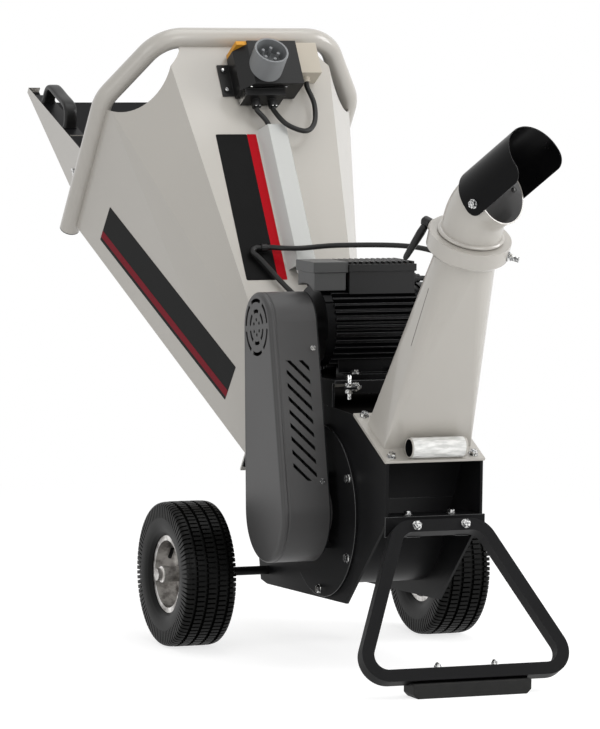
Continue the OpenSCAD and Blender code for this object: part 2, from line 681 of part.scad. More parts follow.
// The terminal box at the drive end and the larger box beside it, cut to sit on the fins
box_front = -62;
box_depth = 104;
box_low = 62;
lid_h = 24;
module on_fins() difference() {
    children();
    x_bar(-300, 300, motor_d);
}
module terminal_box() color(cast_grey) placed() motor_space() on_fins() {
    translate([-guard_back_x, box_front + 4, guard_top_r + 5])
        cube([76, box_depth - 8, terminal_top - lid_h - guard_top_r - 5]);
    translate([-guard_back_x - 4, box_front, terminal_top - lid_h]) cube([84, box_depth, lid_h]);
}
brake_left = -62;
brake_w = 158;
lid_ribs = 12;
gland_low = 41;
module brake_box() color(black_paint) placed() motor_space() {
    on_fins() translate([brake_left, box_front, box_low])
        cube([brake_w, box_depth, terminal_top - box_low - 22]);
    translate([brake_left - 3, box_front - 4, terminal_top - 22]) cube([brake_w + 6, box_depth + 8, 16]);
    for (i = [0 : lid_ribs - 1]) translate([brake_left + 2 + i * (brake_w - 10) / (lid_ribs - 1), box_front - 2,
        terminal_top - 6]) cube([6, box_depth + 4, 6]);
    translate([brake_left + brake_w, box_front + 26, terminal_top - gland_low]) {
        x_bar(0, 12, 26);
        x_bar(12, 22, 20, cable_d + 2 * cable_fit);
    }
}

// The motor's base plate on two uprights that continue the side plates
module motor_plate() color(black_paint) placed() {
    slope = (inlet_z - flange_back_z) / (inlet_y - flange_back_y);
    y0 = motor_y - 96;
    y1 = motor_y + 96;
    top = motor_z - motor_foot;
    both_sides() across(inner_w, half_w) polygon([[y0, flange_back_z + (y0 - flange_back_y) * slope],
        [y1, flange_back_z + (y1 - flange_back_y) * slope], [y1, top - 8], [y0, top - 8]]);
    translate([-half_w, motor_y - 110, top - 8]) cube([housing_w, 220, 8]);
    translate([-half_w + 30, motor_y - 118, top - 30]) cube([housing_w - 60, 8, 30]);
}

// Jack bolts in front of the base plate that tighten the belts, and the foot bolts
module tension_bolts() color(zinc) placed() {
    for (x = [-70, 70]) translate([x, motor_y - 118, motor_z - motor_foot - 14]) rotate([90, 0, 0]) {
        bolt_head(bolt_d);
        translate([0, 0, bolt_d * 0.85]) cylinder(h = 16, d = bolt_d);
    }
    for (x = [-55, 45], y = [-82, 82]) translate([x, motor_y + y, motor_z - motor_foot + 12]) bolt_head(bolt_d);
}

// Discharge

base_w = 2 * (half_w - 11);
base_y0 = -flange_depth / 2 + 50;
base_y1 = flange_depth / 2 - 48;
collar_fore = 19;
spigot_r = pipe_d / 2;
rim_in = 0.6;
foot_step = 0.5;
spigot_h = 12;
module collar_space() discharge_space() translate([0, -collar_fore, flange_t + chute_len]) children();

// A sheet chute from a rectangular foot to a round top: flat triangles and bent corners
module chute_sheet() {
    n = 8;
    low_z = flange_t - lap;
    foot = function(t) [[base_w / 2 - t, base_y1 - t, low_z], [t - base_w / 2, base_y1 - t, low_z],
        [t - base_w / 2, base_y0 + t, low_z], [base_w / 2 - t, base_y0 + t, low_z]];
    rim = function(t) [for (i = [0 : 4 * n - 1]) let(a = i * 90 / n)
        [(spigot_r - rim_in - t) * cos(a), (spigot_r - rim_in - t) * sin(a) - collar_fore, flange_t + chute_len]];
    points = concat(foot(0), rim(0), foot(chute_t), rim(chute_t));
    m = 4 * n;
    c = function(i) 4 + i % m;
    o = 4 + m;
    skin = [for (k = [0 : 3]) each concat(
        [for (i = [k * n : k * n + n - 1]) [k, c(i), c(i + 1)]],
        [[k, c(k * n + n), (k + 1) % 4]])];
    lining = [for (f = skin) [o + f[0], o + f[2], o + f[1]]];
    low = [for (k = [0 : 3]) [k, (k + 1) % 4, o + (k + 1) % 4, o + k]];
    high = [for (i = [0 : m - 1]) [c(i), o + c(i), o + c(i + 1), c(i + 1)]];
    polyhedron(points, concat(skin, lining, low, high));
}
module discharge_chute() color(grey_paint) placed() discharge_space() {
    difference() {
        translate([-flange_side, -flange_depth / 2, 0]) cube([2 * flange_side, flange_depth, flange_t]);
        translate([chute_t - base_w / 2 - foot_step, base_y0 + chute_t - foot_step, -1])
            cube([base_w - 2 * (chute_t - foot_step), base_y1 - base_y0 - 2 * (chute_t - foot_step), flange_t + 2]);
    }
    chute_sheet();
    translate([0, -collar_fore, flange_t + chute_len - 2 * lap]) difference() {
        cylinder(h = spigot_h + 2 * lap, r = spigot_r);
        translate([0, 0, -1]) cylinder(h = spigot_h + 2 * lap + 2, r = spigot_r - chute_t + rim_in);
    }
}

// The collar: a dished floor on the chute's spigot, and a band whose ledge and lip trap the elbow's ring
collar_t = 3;
dish = 10;
ledge_z = collar_h - 18;
ring_t = 8;
lip_r = pipe_d / 2 + 1.5;
module chute_collar() color(grey_paint) placed() collar_space() {
    rotate_extrude() polygon([[collar_d / 2 - dish, 0], [collar_d / 2, dish], [collar_d / 2, collar_h],
        [lip_r, collar_h], [lip_r, ledge_z + 3 + ring_t + 2 * free],
        [collar_d / 2 - collar_t, ledge_z + 3 + ring_t + 2 * free], [collar_d / 2 - collar_t, ledge_z + 3],
        [lip_r, ledge_z + 3], [lip_r, ledge_z], [collar_d / 2 - collar_t, ledge_z],
        [collar_d / 2 - collar_t, dish + 1], [collar_d / 2 - dish - 1, collar_t],
        [spigot_r + seat, collar_t], [spigot_r + seat, 0]]);
    rotate(lever_at) translate([collar_d / 2 - 1, 0, lever_z]) rotate([0, 90, 0]) difference() {
        cylinder(h = 12, d = 26);
        translate([0, 0, 2]) cylinder(h = 20, d = 12 + 2 * run_fit);
    }
}

// A plain lifting tube on the flange
tube_d = 44;
module flange_tube() color(grey_paint) placed() discharge_space()
    translate([0, base_y0 - 34, flange_t + tube_d / 2]) x_bar(-62, 70, tube_d, tube_d - 6);

// The clamp lever that holds the elbow
lever_at = 121;
lever_z = collar_h - 24;
lever_len = 86;
module clamp_lever() color(black_paint) placed() collar_space()
    rotate(lever_at) translate([collar_d / 2 + 1, 0, lever_z]) rotate([0, 90, 0]) {
        translate([0, 0, 1]) cylinder(h = 34, d = 12);
        translate([0, 0, 12]) cylinder(h = 20, d = 24);
        rotate(127) translate([0, 0, 22]) rotate([90, 0, 0]) cylinder(h = lever_len, d1 = 16, d2 = 12);
        rotate(127) translate([0, -lever_len, 22]) sphere(d = 17);
    }

// The swivelling elbow: a ring in the collar, a bend and a short outlet
module elbow_space() collar_space() rotate(elbow_turn) children();
module outlet_space() elbow_space() translate([0, -elbow_r * (1 - cos(elbow_bend)),
    collar_h + elbow_up + elbow_r * sin(elbow_bend)]) rotate([elbow_bend, 0, 0]) children();
outlet_len = 24;
hood_pin_d = 10;
module elbow() color(grey_paint) placed() difference() {
    union() {
        elbow_space() {
            translate([0, 0, spigot_h + 4]) linear_extrude(collar_h + elbow_up - spigot_h - 4 + lap)
                ring_section(pipe_d, pipe_t);
            translate([0, -elbow_r, collar_h + elbow_up]) rotate([90, 0, 90]) rotate_extrude(angle = elbow_bend)
                translate([elbow_r, 0]) ring_section(pipe_d - 2 * slim, pipe_t - 2 * slim);
            translate([0, 0, ledge_z + 3 + free]) difference() {
                cylinder(h = ring_t, r = collar_d / 2 - 5);
                translate([0, 0, -1]) cylinder(h = ring_t + 2, d = pipe_d - 1);
            }
        }
        outlet_space() translate([0, 0, -lap]) linear_extrude(outlet_len + lap) ring_section(pipe_d, pipe_t);
    }
    outlet_space() translate([0, 0, pivot_z]) x_bar(-pipe_d, pipe_d, hood_pin_d + 2 * run_fit);
}

// The deflector: a half-round hood on two pivot bolts, open below
hood_r = pipe_d / 2 + 3;
hood_up = 9;
hood_back = 27;
hood_t = 2;
hood_low = -26;
hood_back_r = 26;
module hood_corner(z, s, r) difference() {
    translate([-200, hood_low - 1, s > 0 ? z : z - r]) cube([400, r + 1, r]);
    translate([0, hood_low + r, s > 0 ? z + r : z - r]) x_bar(-201, 201, 2 * r);
}
module hood_space() outlet_space() translate([0, 0, pivot_z]) rotate([-hood_tilt, 0, 0]) children();
module deflector() color(black_paint) placed() hood_space() difference() {
    union() {
        translate([0, 0, -hood_back]) linear_extrude(hood_back + hood_len) difference() {
            union() {
                translate([0, hood_up]) circle(hood_r + hood_t);
                translate([-hood_r - hood_t, hood_low]) square([2 * (hood_r + hood_t), hood_up - hood_low]);
            }
            translate([0, hood_up]) circle(hood_r);
            translate([-hood_r, hood_low - 100]) square([2 * hood_r, hood_up - hood_low + 100]);
            translate([-200, hood_low - 200]) square([400, 200]);
        }
    }
    hood_corner(-hood_back, 1, hood_back_r);
    hood_corner(hood_len, -1, hood_front_r);
    x_bar(-200, 200, hood_pin_d + 2 * run_fit);
}
module deflector_bolts() color(zinc) placed() hood_space() both_sides() {
    x_bar(pipe_d / 2 - pipe_t - 6, hood_r + hood_t, hood_pin_d);
    translate([hood_r + hood_t, 0, 0]) rotate([0, 90, 0]) bolt_head(hood_pin_d);
}

// Hopper

hopper_flange_t = 5;
sheet_low = flap_floor + 14;
mouth_mid = mouth_corner - mouth_over;
function mouth_edge(t) = [[mouth_w / 2 - t, sheet_low - t], [mouth_w / 2 - t, mouth_mid + 0.5 * t],
    [mouth_top_w / 2 - 0.5 * t, t - mouth_over], [0.5 * t - mouth_top_w / 2, t - mouth_over],
    [t - mouth_w / 2, mouth_mid + 0.5 * t], [t - mouth_w / 2, sheet_low - t]];
function inlet_edge(t) = [[inner_w - 1 - t, inlet_h - t], [inner_w - 1 - t, t], [t + 1 - inner_w, t],
    [t + 1 - inner_w, inlet_h - t]];
module hopper_sheet() {
    points = concat([for (t = [0, hopper_t]) each concat(
        [for (q = inlet_edge(t)) [q[0], q[1], 0]], [for (q = mouth_edge(t)) [q[0], q[1], hopper_len]])]);
    skin = [[0, 1, 5, 4], [1, 6, 5], [1, 2, 7, 6], [2, 8, 7], [2, 3, 9, 8], [3, 0, 4, 9]];
    lining = [for (f = skin) [for (i = [len(f) - 1 : -1 : 0]) f[i] + 10]];
    low = [for (k = [0 : 3]) let(j = (k + 1) % 4) [j, k, k + 10, j + 10]];
    high = [for (k = [0 : 5]) let(j = (k + 1) % 6) [k + 4, j + 4, j + 14, k + 14]];
    polyhedron(points, concat(skin, lining, low, high));
}

// The mouth frame's centre line, from one leg end over the top to the other
frame_path = [[-mouth_w / 2, mouth_side + mouth_mid], [-mouth_w / 2, mouth_mid],
    [-mouth_top_w / 2, -mouth_over], [mouth_top_w / 2, -mouth_over], [mouth_w / 2, mouth_mid],
    [mouth_w / 2, mouth_side + mouth_mid]];
frame_bend = 95;
module mouth_frame() color(grey_paint) placed() hopper_space() translate([0, 0, hopper_len])
    bent_tube(frame_path, frame_bend) {
        ring_section(frame_d, frame_t);
        ring_section(frame_d - 2 * slim, frame_t - 2 * slim);
    }

// A round hand hole cut square through each sloped corner panel, beside the frame
module hand_hole() {
    p = [mouth_w / 2, mouth_mid, hopper_len];
    q = [mouth_top_w / 2, -mouth_over, hopper_len];
    e = unit(q - p);
    out = unit(cross([inner_w - 1, 0, 0] - p, e));
    w = cross(out, e);
    c = p + 0.52 * (q - p) + 31 * w;
    multmatrix([[e[0], w[0], out[0], c[0]], [e[1], w[1], out[1], c[1]], [e[2], w[2], out[2], c[2]],
        [0, 0, 0, 1]]) cylinder(h = 60, r = 130, center = true);
}
module hopper() color(grey_paint) placed() hopper_space() {
    difference() {
        hopper_sheet();
        both_sides() hand_hole();
        translate([0, 0, hopper_len]) bent_tube(frame_path, frame_bend) {
            circle(d = frame_d);
            circle(d = frame_d - 2 * slim);
        }
    }
    difference() {
        translate([-half_w - 22, -16, 0]) cube([housing_w + 44, inlet_h + 32, hopper_flange_t]);
        translate([1.5 - inner_w, 0.5, -1]) cube([2 * inner_w - 3, inlet_h - 1, hopper_flange_t + 2]);
    }
}

// Feed flap

flap_w = mouth_w - frame_d - 8;
flap_n0 = 20;
pivot_s = flap_floor - 70;
pivot_n = 62;
module mouth_space() hopper_space() translate([0, 0, hopper_len]) children();
module flap_lugs() color(grey_paint) placed() mouth_space() both_sides() difference() {
    translate([flap_w / 2 + 1.2, pivot_s - 22, 4]) cube([6, 44, pivot_n + 18]);
    translate([mouth_w / 2, pivot_s - 50, 0]) rotate([-90, 0, 0]) cylinder(h = 100, d = frame_d);
    translate([0, pivot_s, pivot_n]) x_bar(flap_w / 2 - 5, flap_w / 2 + 20, flap_pin_d + 2 * run_fit);
}

// The tray: a floor with a wide notch in its rear edge, and two tapered side walls
flap_tab = 30;
flap_notch = 45;
module flap() color(grey_paint) placed() {
    mouth_space() flap_sheets();
    handle_space() translate([-22, -130, -flap_t]) cube([handle_w + 4, 260, flap_t]);
}
module flap_sheets() {
    rear = flap_len;
    difference() {
        both_sides() translate([flap_w / 2 - flap_t, 0, 0]) rotate([90, 0, 90]) linear_extrude(flap_t)
            polygon([[flap_floor, flap_n0], [flap_floor, rear], [flap_floor - 12, rear],
                [flap_floor - flap_side + 15, 98], [flap_floor - flap_side, 34],
                [flap_floor - flap_side + 16, flap_n0]]);
        translate([0, pivot_s, pivot_n]) x_bar(-flap_w, flap_w, flap_pin_d + 2 * run_fit);
    }
    difference() {
        union() {
            translate([-flap_w / 2, flap_floor, flap_n0]) cube([flap_w, flap_t, rear - flap_n0]);
            translate([-flap_w / 2, flap_floor - 12, rear - flap_t]) cube([flap_w, 12, flap_t]);
        }
        translate([flap_tab - flap_w / 2, flap_floor - 20, rear - flap_notch])
            cube([flap_w - 2 * flap_tab, 40, flap_notch + 1]);
    }
}
handle_slope = atan2(flap_side - 27, flap_len - 98);
handle_n = 325;
handle_w = 36;
handle_top = 54;
handle_t = 6;
handle_half = 82;
module handle_space() mouth_space() {
    up = flap_side - 15 - (handle_n - 98) * tan(handle_slope);
    translate([-flap_w / 2 + 22, flap_floor - up, handle_n]) rotate([90 - handle_slope, 0, 0]) children();
}
module flap_handle() color(black_paint) placed() handle_space() translate([handle_w / 2 - 21, 0, 0]) {
    rotate([90, 0, 90]) bent_tube([[-handle_half, 3], [18 - handle_half, handle_top], [handle_half - 18, handle_top],
        [handle_half, 3]], 16) {
        square([handle_t, handle_w], center = true);
        square([handle_t - 0.6, handle_w - 0.6], center = true);
    }
    for (s = [-1, 1]) translate([-handle_w / 2, handle_half * s - 9, 0]) cube([handle_w, 18, 5]);
}
module flap_bolts() color(zinc) placed() mouth_space() both_sides() translate([0, pivot_s, pivot_n]) {
    x_bar(flap_w / 2 - flap_t, flap_w / 2 + 7.6, flap_pin_d);
    translate([flap_w / 2 - flap_t, 0, 0]) rotate([0, -90, 0]) bolt_head(flap_pin_d * 0.8);
    translate([flap_w / 2 + 7.6, 0, 0]) rotate([0, 90, 0]) bolt_head(flap_pin_d * 0.8);
}

// Stand

foot_y = rotor_y - foot_ahead;
foot_z = 45;
head_y = flange_y - 6 - 19.2 * stand_tube / 28;
head_z = shelf_z - 23;
stand_len = norm([head_y - foot_y, head_z - foot_z]);
stand_a = atan2(head_z - foot_z, head_y - foot_y);
module stand_space() translate([0, foot_y, foot_z]) rotate([stand_a, 0, 0]) children();
stand_path = [[0, 0], [stand_low, 0], [stand_top, stand_len], [-stand_top, stand_len], [-stand_low, 0], [0, 0]];
module square_section(a, t) difference() {
    square(a, center = true);
    square(a - 2 * t, center = true);
}
module stand_loop() color(black_paint) placed() stand_space() bent_tube(stand_path, 44) {
    square_section(stand_tube, 2.5);
    square_section(stand_tube - 2 * slim, 2.5 - 2 * slim);
}

// The bracket between the side plates: a shelf, a front plate and two saddles for the tube
module stand_bracket() color(black_paint) placed() {
    translate([-inner_w, flange_y, shelf_z - 6]) cube([2 * inner_w, 62, 6]);
    translate([-half_w - 4, flange_y - 6, shelf_z - 44]) cube([housing_w + 8, 6, 44]);
    difference() {
        for (x = [-58, 58]) translate([x - 16, flange_y - 20, shelf_z - 44]) cube([32, 14, 40]);
        stand_space() translate([-200, stand_len - stand_tube / 2, -stand_tube / 2])
            cube([400, 60, 60]);
        stand_space() translate([-200, stand_len - stand_tube / 2 - 60, -stand_tube / 2])
            cube([400, 61, 60]);
    }
}
module stand_bolts() color(zinc) placed() {
    for (x = [-58, 58]) stand_space() translate([x, stand_len, stand_tube / 2]) bolt_head(bolt_d);
    for (x = [-67, 67]) stand_space() translate([x, stand_tube / 2, 0]) rotate([-90, 0, 0]) {
        bolt_head(bolt_d);
        translate([0, 0, bolt_d * 0.85]) cylinder(h = 7, d1 = 15, d2 = 5);
    }
    for (x = [-52, 52]) translate([x, flange_y + 26, shelf_z]) bolt_head(bolt_d);
}

// The foot: a block with chamfered ends, grooved for the tube
module foot_block() color(black_paint) placed() difference() {
    translate([0, foot_y + foot_depth / 2, 0]) rotate([90, 0, 0]) linear_extrude(foot_depth)
        polygon([[-foot_w / 2, 10], [10 - foot_w / 2, 0], [foot_w / 2 - 10, 0], [foot_w / 2, 10],
            [foot_w / 2, foot_h], [-foot_w / 2, foot_h]]);
    stand_space() translate([-300, -stand_tube / 2, -stand_tube / 2]) cube([600, stand_tube, stand_tube]);
}

// Controls on the hopper's top panel

panel_a = atan2(mouth_over, hopper_len);
panel_len = norm([mouth_over, hopper_len]);
module panel_space() hopper_space() rotate([90 + panel_a, 0, 0]) children();
switch_v = panel_len - switch_down;
switch_x = 16;
switch_up = 48;
module switch_space() panel_space() translate([switch_x, switch_v, 0]) children();

// A bevelled box on its mounting plate, with a gland strip below
module switch_box() color(black_paint) placed() switch_space() {
    translate([-switch_w / 2 - 28, -50, 0]) cube([switch_w + 4, 84, 4]);
    translate([0, switch_up, 0]) rotate([90, 0, 0]) linear_extrude(switch_up + 58)
        polygon([[-switch_w / 2, 4], [switch_w / 2, 4], [switch_w / 2, switch_depth],
            [26 - switch_w / 2, switch_depth], [-switch_w / 2, switch_depth - 34]]);
    translate([26 - switch_w / 2, switch_up - 1, switch_depth - 3.6]) cube([switch_w - 26, 11, 3.6]);
    translate([-switch_w / 2 + 8, -76, 4]) cube([100, 20, 50]);
    for (x = [-36, 6]) translate([x, -76, 28]) rotate([90, 0, 0]) difference() {
        cylinder(h = 18, d = 22);
        translate([0, 0, 10]) cylinder(h = 10, d = cable_d + 2 * cable_fit);
    }
    for (y = [-34, 18]) translate([-switch_w / 2 - 14, y, 4]) cylinder(h = 4, d = 13);
}

// The operator's face plate on the upper end, with the push buttons' bores
button_d = 24;
button_x = [-30, 24];
module button_space(i) switch_space() translate([button_x[i], switch_up, switch_depth / 2 + 4])
    rotate([-90, 0, 0]) children();
module switch_face() color([0.85, 0.62, 0.10]) placed() {
    difference() {
        switch_space() translate([-switch_w / 2, switch_up, 6]) cube([switch_w, 10, switch_depth - 10]);
        for (i = [0, 1]) button_space(i) translate([0, 0, 2]) cylinder(h = 20, d = button_d + 1);
    }
}
module button(i) button_space(i) {
    translate([0, 0, 6]) cylinder(h = 10, d = button_d);
}
module start_button() color([0.12, 0.45, 0.20]) placed() button(0);
module stop_button() color([0.70, 0.08, 0.08]) placed() button(1);

// The shrouded power inlet, tilted up the panel, with its contact pins
plug_tilt = 16;
plug_len = 52;
module plug_space() switch_space() translate([-14, -12, switch_depth]) rotate([-plug_tilt, 0, 0]) children();
module power_inlet() color([0.42, 0.43, 0.44]) placed() {
    difference() {
        plug_space() difference() {
            translate([0, 0, -20]) cylinder(h = plug_len + 20, d = plug_d);
            translate([0, 0, 14]) cylinder(h = plug_len, d = plug_d - 10);
        }
        switch_space() translate([-200, -200, switch_depth - 100]) cube([400, 400, 100]);
    }
    plug_space() for (a = [0 : 72 : 288]) rotate(a) translate([19, 0, 13]) cylinder(h = 30, d = 8);
}

// The side box beside the switch
side_w = 62;
module side_box() color([0.74, 0.70, 0.62]) placed() switch_space() {
    translate([switch_w / 2 + 2, -14, 0]) cube([side_w, 82, 52]);
    translate([switch_w / 2 + side_w / 2, -14, 24]) rotate([90, 0, 0]) difference() {
        cylinder(h = 12, d = 20);
        translate([0, 0, 6]) cylinder(h = 10, d = cable_d + 2 * cable_fit);
    }
}

// The folded duct down the panel, and the clip that leads the motor cable
duct_v = switch_v - 140;
duct_x = 20;
clip_x = -72;
clip_v = duct_v - duct_len + 72;
clip_r = cable_d / 2;
clip_gap = 0.8;
module cable_duct() color(grey_paint) placed() panel_space() {
    difference() {
        translate([duct_x, duct_v, 0]) rotate([90, 0, 0]) linear_extrude(duct_len) difference() {
            polygon([[-38, 0], [38, 0], [22, 30], [-22, 30]]);
            polygon([[-34, -1], [34, -1], [19.5, 27.5], [-19.5, 27.5]]);
        }
        translate([duct_x - 60, duct_v - duct_len - 1, -1]) cube([45, cable_d + 8, cable_d + 10]);
    }
    translate([clip_x, clip_v, 0]) {
        translate([-10, -8, 0]) cube([20, 16, 3]);
        translate([-7, 0, clip_r + 6]) rotate([0, 90, 0]) difference() {
            cylinder(h = 14, r = clip_r + 3);
            translate([0, 0, -1]) cylinder(h = 16, r = clip_r + clip_gap);
        }
        translate([-7, -3, 2]) cube([14, 6, 3]);
    }
}

// Cables from the switch into the duct, from the switch to the side box, and from duct to motor
function on_panel(x, v, z) = let(
        s = -sin(panel_a) * v - cos(panel_a) * z,
        n = cos(panel_a) * v - sin(panel_a) * z)
    [x, inlet_y + s * sin(hopper_tilt) + n * cos(hopper_tilt),
        inlet_z - s * cos(hopper_tilt) + n * sin(hopper_tilt)];
module cables() color(rubber) placed() {
    v0 = switch_v - 86;
    v1 = switch_v - 94;
    z = 28;
    x1 = switch_x - 36;
    x2 = switch_x + 6;
    x3 = switch_x + switch_w / 2 + side_w / 2;
    cable([on_panel(x1, v0 - 0.3, z), on_panel(x1, v1 - 1, z), on_panel(x1, v1 - 10, z),
        on_panel(x1 + 19, duct_v + 14, 22), on_panel(duct_x - 8, duct_v - 16, 16)], cable_d, [1, 0, 0]);
    cable([on_panel(x2, v0 - 0.3, z), on_panel(x2, v1 - 1, z), on_panel(x2, v1 - 10, z),
        on_panel(x2 + 18, v1 - 54, z + 14), on_panel(x2 + 62, v1 - 72, z + 14), on_panel(x3 - 6, v1 - 44, z + 4),
        on_panel(x3 + 8, v1 + 10, z - 4), on_panel(x3, switch_v - 40, 24), on_panel(x3, switch_v - 28, 24),
        on_panel(x3, switch_v - 20.3, 24)], cable_d, on_panel(0, 0, 1) - on_panel(0, 0, 0));
    gland = [brake_left + brake_w + 13, motor_y + box_front + 26, motor_z + terminal_top - gland_low];
    clip_z = clip_r + 6;
    cable([on_panel(duct_x - 14, duct_v - duct_len + 10, 12), on_panel(duct_x - 50, duct_v - duct_len + 8, 12),
        on_panel(clip_x - 30, clip_v - 34, clip_z), on_panel(clip_x - 36, clip_v - 5, clip_z),
        on_panel(clip_x - 18, clip_v, clip_z), on_panel(clip_x - 8, clip_v, clip_z),
        on_panel(clip_x + 8, clip_v, clip_z), on_panel(clip_x + 18, clip_v, clip_z + 2),
        on_panel(clip_x + 42, clip_v - 12, clip_z + 20), on_panel(clip_x + 80, clip_v - 20, clip_z + 34),
        [90, 70, gland[2] + 50], [205, -50, gland[2] + 54], [246, -170, gland[2] + 38],
        [222, gland[1] - 8, gland[2] + 8], [gland[0] + 41, gland[1], gland[2]],
        [gland[0] + 15, gland[1], gland[2]], gland],
        cable_d, [0, 0.3, 1]);
}

left_side_plate();
right_side_plate();
housing_shell();
left_bearing_plate();
right_bearing_plate();
left_bearing();
right_bearing();
housing_bolts();
counter_knife();
axle();
axle_collars();
axle_caps();
left_tyre();
right_tyre();
left_rim();
right_rim();
rotor_shaft();
rotor_drum();
rotor_knives();
rotor_pulley();
motor_shaft();
motor_pulley();
motor_fan();
drive_belts();
guard_back();
belt_guard();
guard_screws();
motor_body();
motor_shields();
fan_cowl();
terminal_box();
brake_box();
motor_plate();
tension_bolts();
discharge_chute();
chute_collar();
flange_tube();
elbow();
clamp_lever();
deflector();
deflector_bolts();
hopper();
mouth_frame();
flap_lugs();
flap();
flap_handle();
flap_bolts();
stand_loop();
stand_bracket();
stand_bolts();
foot_block();
switch_box();
switch_face();
power_inlet();
start_button();
stop_button();
side_box();
cable_duct();
cables();
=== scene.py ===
import json
import math

import bmesh
import bpy
from mathutils import Matrix, Vector
from mathutils.bvhtree import BVHTree

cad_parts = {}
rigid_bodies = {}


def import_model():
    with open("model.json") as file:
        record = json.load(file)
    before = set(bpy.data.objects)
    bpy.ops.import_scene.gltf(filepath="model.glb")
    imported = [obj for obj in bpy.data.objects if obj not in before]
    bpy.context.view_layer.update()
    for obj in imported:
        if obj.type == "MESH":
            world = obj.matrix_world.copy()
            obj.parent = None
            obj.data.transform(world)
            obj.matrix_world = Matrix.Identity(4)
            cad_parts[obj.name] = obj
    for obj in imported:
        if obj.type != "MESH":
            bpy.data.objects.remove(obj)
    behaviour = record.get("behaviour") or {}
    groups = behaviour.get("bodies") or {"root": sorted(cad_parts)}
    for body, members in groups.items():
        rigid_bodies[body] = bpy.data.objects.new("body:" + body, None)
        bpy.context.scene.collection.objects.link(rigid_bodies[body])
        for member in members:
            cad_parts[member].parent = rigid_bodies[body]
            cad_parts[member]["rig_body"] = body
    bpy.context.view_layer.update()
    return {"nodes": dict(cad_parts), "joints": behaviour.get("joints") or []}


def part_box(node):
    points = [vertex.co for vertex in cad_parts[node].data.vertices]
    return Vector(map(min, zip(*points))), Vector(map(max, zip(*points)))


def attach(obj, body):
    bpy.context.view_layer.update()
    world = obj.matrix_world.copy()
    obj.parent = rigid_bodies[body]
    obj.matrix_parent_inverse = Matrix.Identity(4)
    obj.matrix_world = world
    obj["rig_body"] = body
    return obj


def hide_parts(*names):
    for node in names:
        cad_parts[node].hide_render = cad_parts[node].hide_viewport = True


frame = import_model()

# The view: a long lens from the front left, a little above the machine, as the photograph was taken.
# The camera is turned by heading, dip and roll in radians, and its lens is given for a 36 mm film side.
heading, dip, roll = 0.40133, 0.09033, 0.01389
camera_place = (-4.3133, -10.1232, 1.6264)
long_lens, far_clip = 236.97, 60
scene = bpy.context.scene
scene.view_settings.view_transform = "Standard"
ahead = Vector((math.sin(heading) * math.cos(dip), math.cos(heading) * math.cos(dip), -math.sin(dip)))
right = Vector((math.cos(heading), -math.sin(heading), 0))
above = right.cross(ahead)
right, above = (
    right * math.cos(roll) + above * math.sin(roll),
    above * math.cos(roll) - right * math.sin(roll),
)
camera = bpy.data.objects.new("camera", bpy.data.cameras.new("camera"))
camera.data.lens = long_lens
camera.data.clip_end = far_clip
camera.matrix_world = Matrix(
    [(right[i], above[i], -ahead[i], camera_place[i]) for i in range(3)] + [(0, 0, 0, 1)]
)
scene.collection.objects.link(camera)
scene.camera = camera


# The studio: white surroundings and a white floor that keeps a soft shadow. Three large softboxes
# stand in front and at the sides, and one hangs above.
def softbox(name, place, target, size, power):
    lamp = bpy.data.lights.new(name, "AREA")
    lamp.shape = "RECTANGLE"
    lamp.size, lamp.size_y = size
    lamp.energy = power
    box = bpy.data.objects.new(name, lamp)
    box.location = place
    box.rotation_euler = (Vector(target) - Vector(place)).to_track_quat("-Z", "Y").to_euler()
    scene.collection.objects.link(box)


softbox("box_front", (0.6, -5.0, 2.6), (0, -0.3, 0.7), (2.4, 2.4), 52)
softbox("box_right", (3.6, -1.8, 2.4), (0, -0.1, 0.7), (1.6, 2.4), 80)
softbox("box_left", (-3.8, -2.0, 1.7), (0, 0.2, 0.8), (1.8, 2.6), 25)
softbox("box_above", (0.3, -0.3, 4.4), (0, 0, 0.6), (3.0, 3.0), 44)


class Field:
    """A value or colour that changes over a surface: a socket in a material's nodes."""

    def __init__(self, tree, socket=None):
        self.tree, self.socket = tree, socket

    def node(self, kind, settings=(), sockets=(), out=0):
        """A new node: its settings first, then the values or links of its sockets."""
        made = self.tree.nodes.new("ShaderNode" + kind)
        for key, value in dict(settings).items():
            setattr(made, key, value)
        for key, value in dict(sockets).items():
            if isinstance(value, Field):
                self.tree.links.new(value.socket, made.inputs[key])
            else:
                made.inputs[key].default_value = value
        return Field(self.tree, made.outputs[out] if made.outputs else None)

    def math(self, operation, a, b=0.0):
        return self.node("Math", {"operation": operation}, {0: a, 1: b})

    def __add__(self, other):
        return self.math("ADD", self, other)

    __radd__ = __add__

    def __mul__(self, other):
        return self.math("MULTIPLY", self, other)

    __rmul__ = __mul__

    def between(self, low, high):
        """Rises from 0 to 1 as the value goes from low to high."""
        ends = {"Value": self, "From Min": low, "From Max": high}
        return self.node("MapRange", {"interpolation_type": "SMOOTHSTEP"}, ends)

    def shade(self, dark, light):
        """The colour from dark to light that this value picks."""
        return self.node("Mix", {"data_type": "RGBA"}, {0: self, 6: (*dark, 1), 7: (*light, 1)}, 2)

    def place(self):
        return self.node("TexCoord", out="Object")

    def cloud(self, scale, detail=3, rough=0.5):
        """Soft patches, with as many to the metre as scale says."""
        grain = {"Vector": self.place(), "Scale": scale, "Detail": detail, "Roughness": rough}
        return self.node("TexNoise", {}, grain)

    def seen(self):
        """1 on the way to the camera, also by way of a mirror or glass, and 0 for falling light."""
        mirror = self.node("LightPath", out="Is Glossy Ray")
        glass = self.node("LightPath", out="Is Transmission Ray")
        straight = self.node("LightPath", out="Is Camera Ray")
        return self.math("MAXIMUM", straight, self.math("MAXIMUM", mirror, glass))

    def bump(self, depth, strength=0.3):
        return self.node("Bump", {}, {"Height": self, "Distance": depth, "Strength": strength})


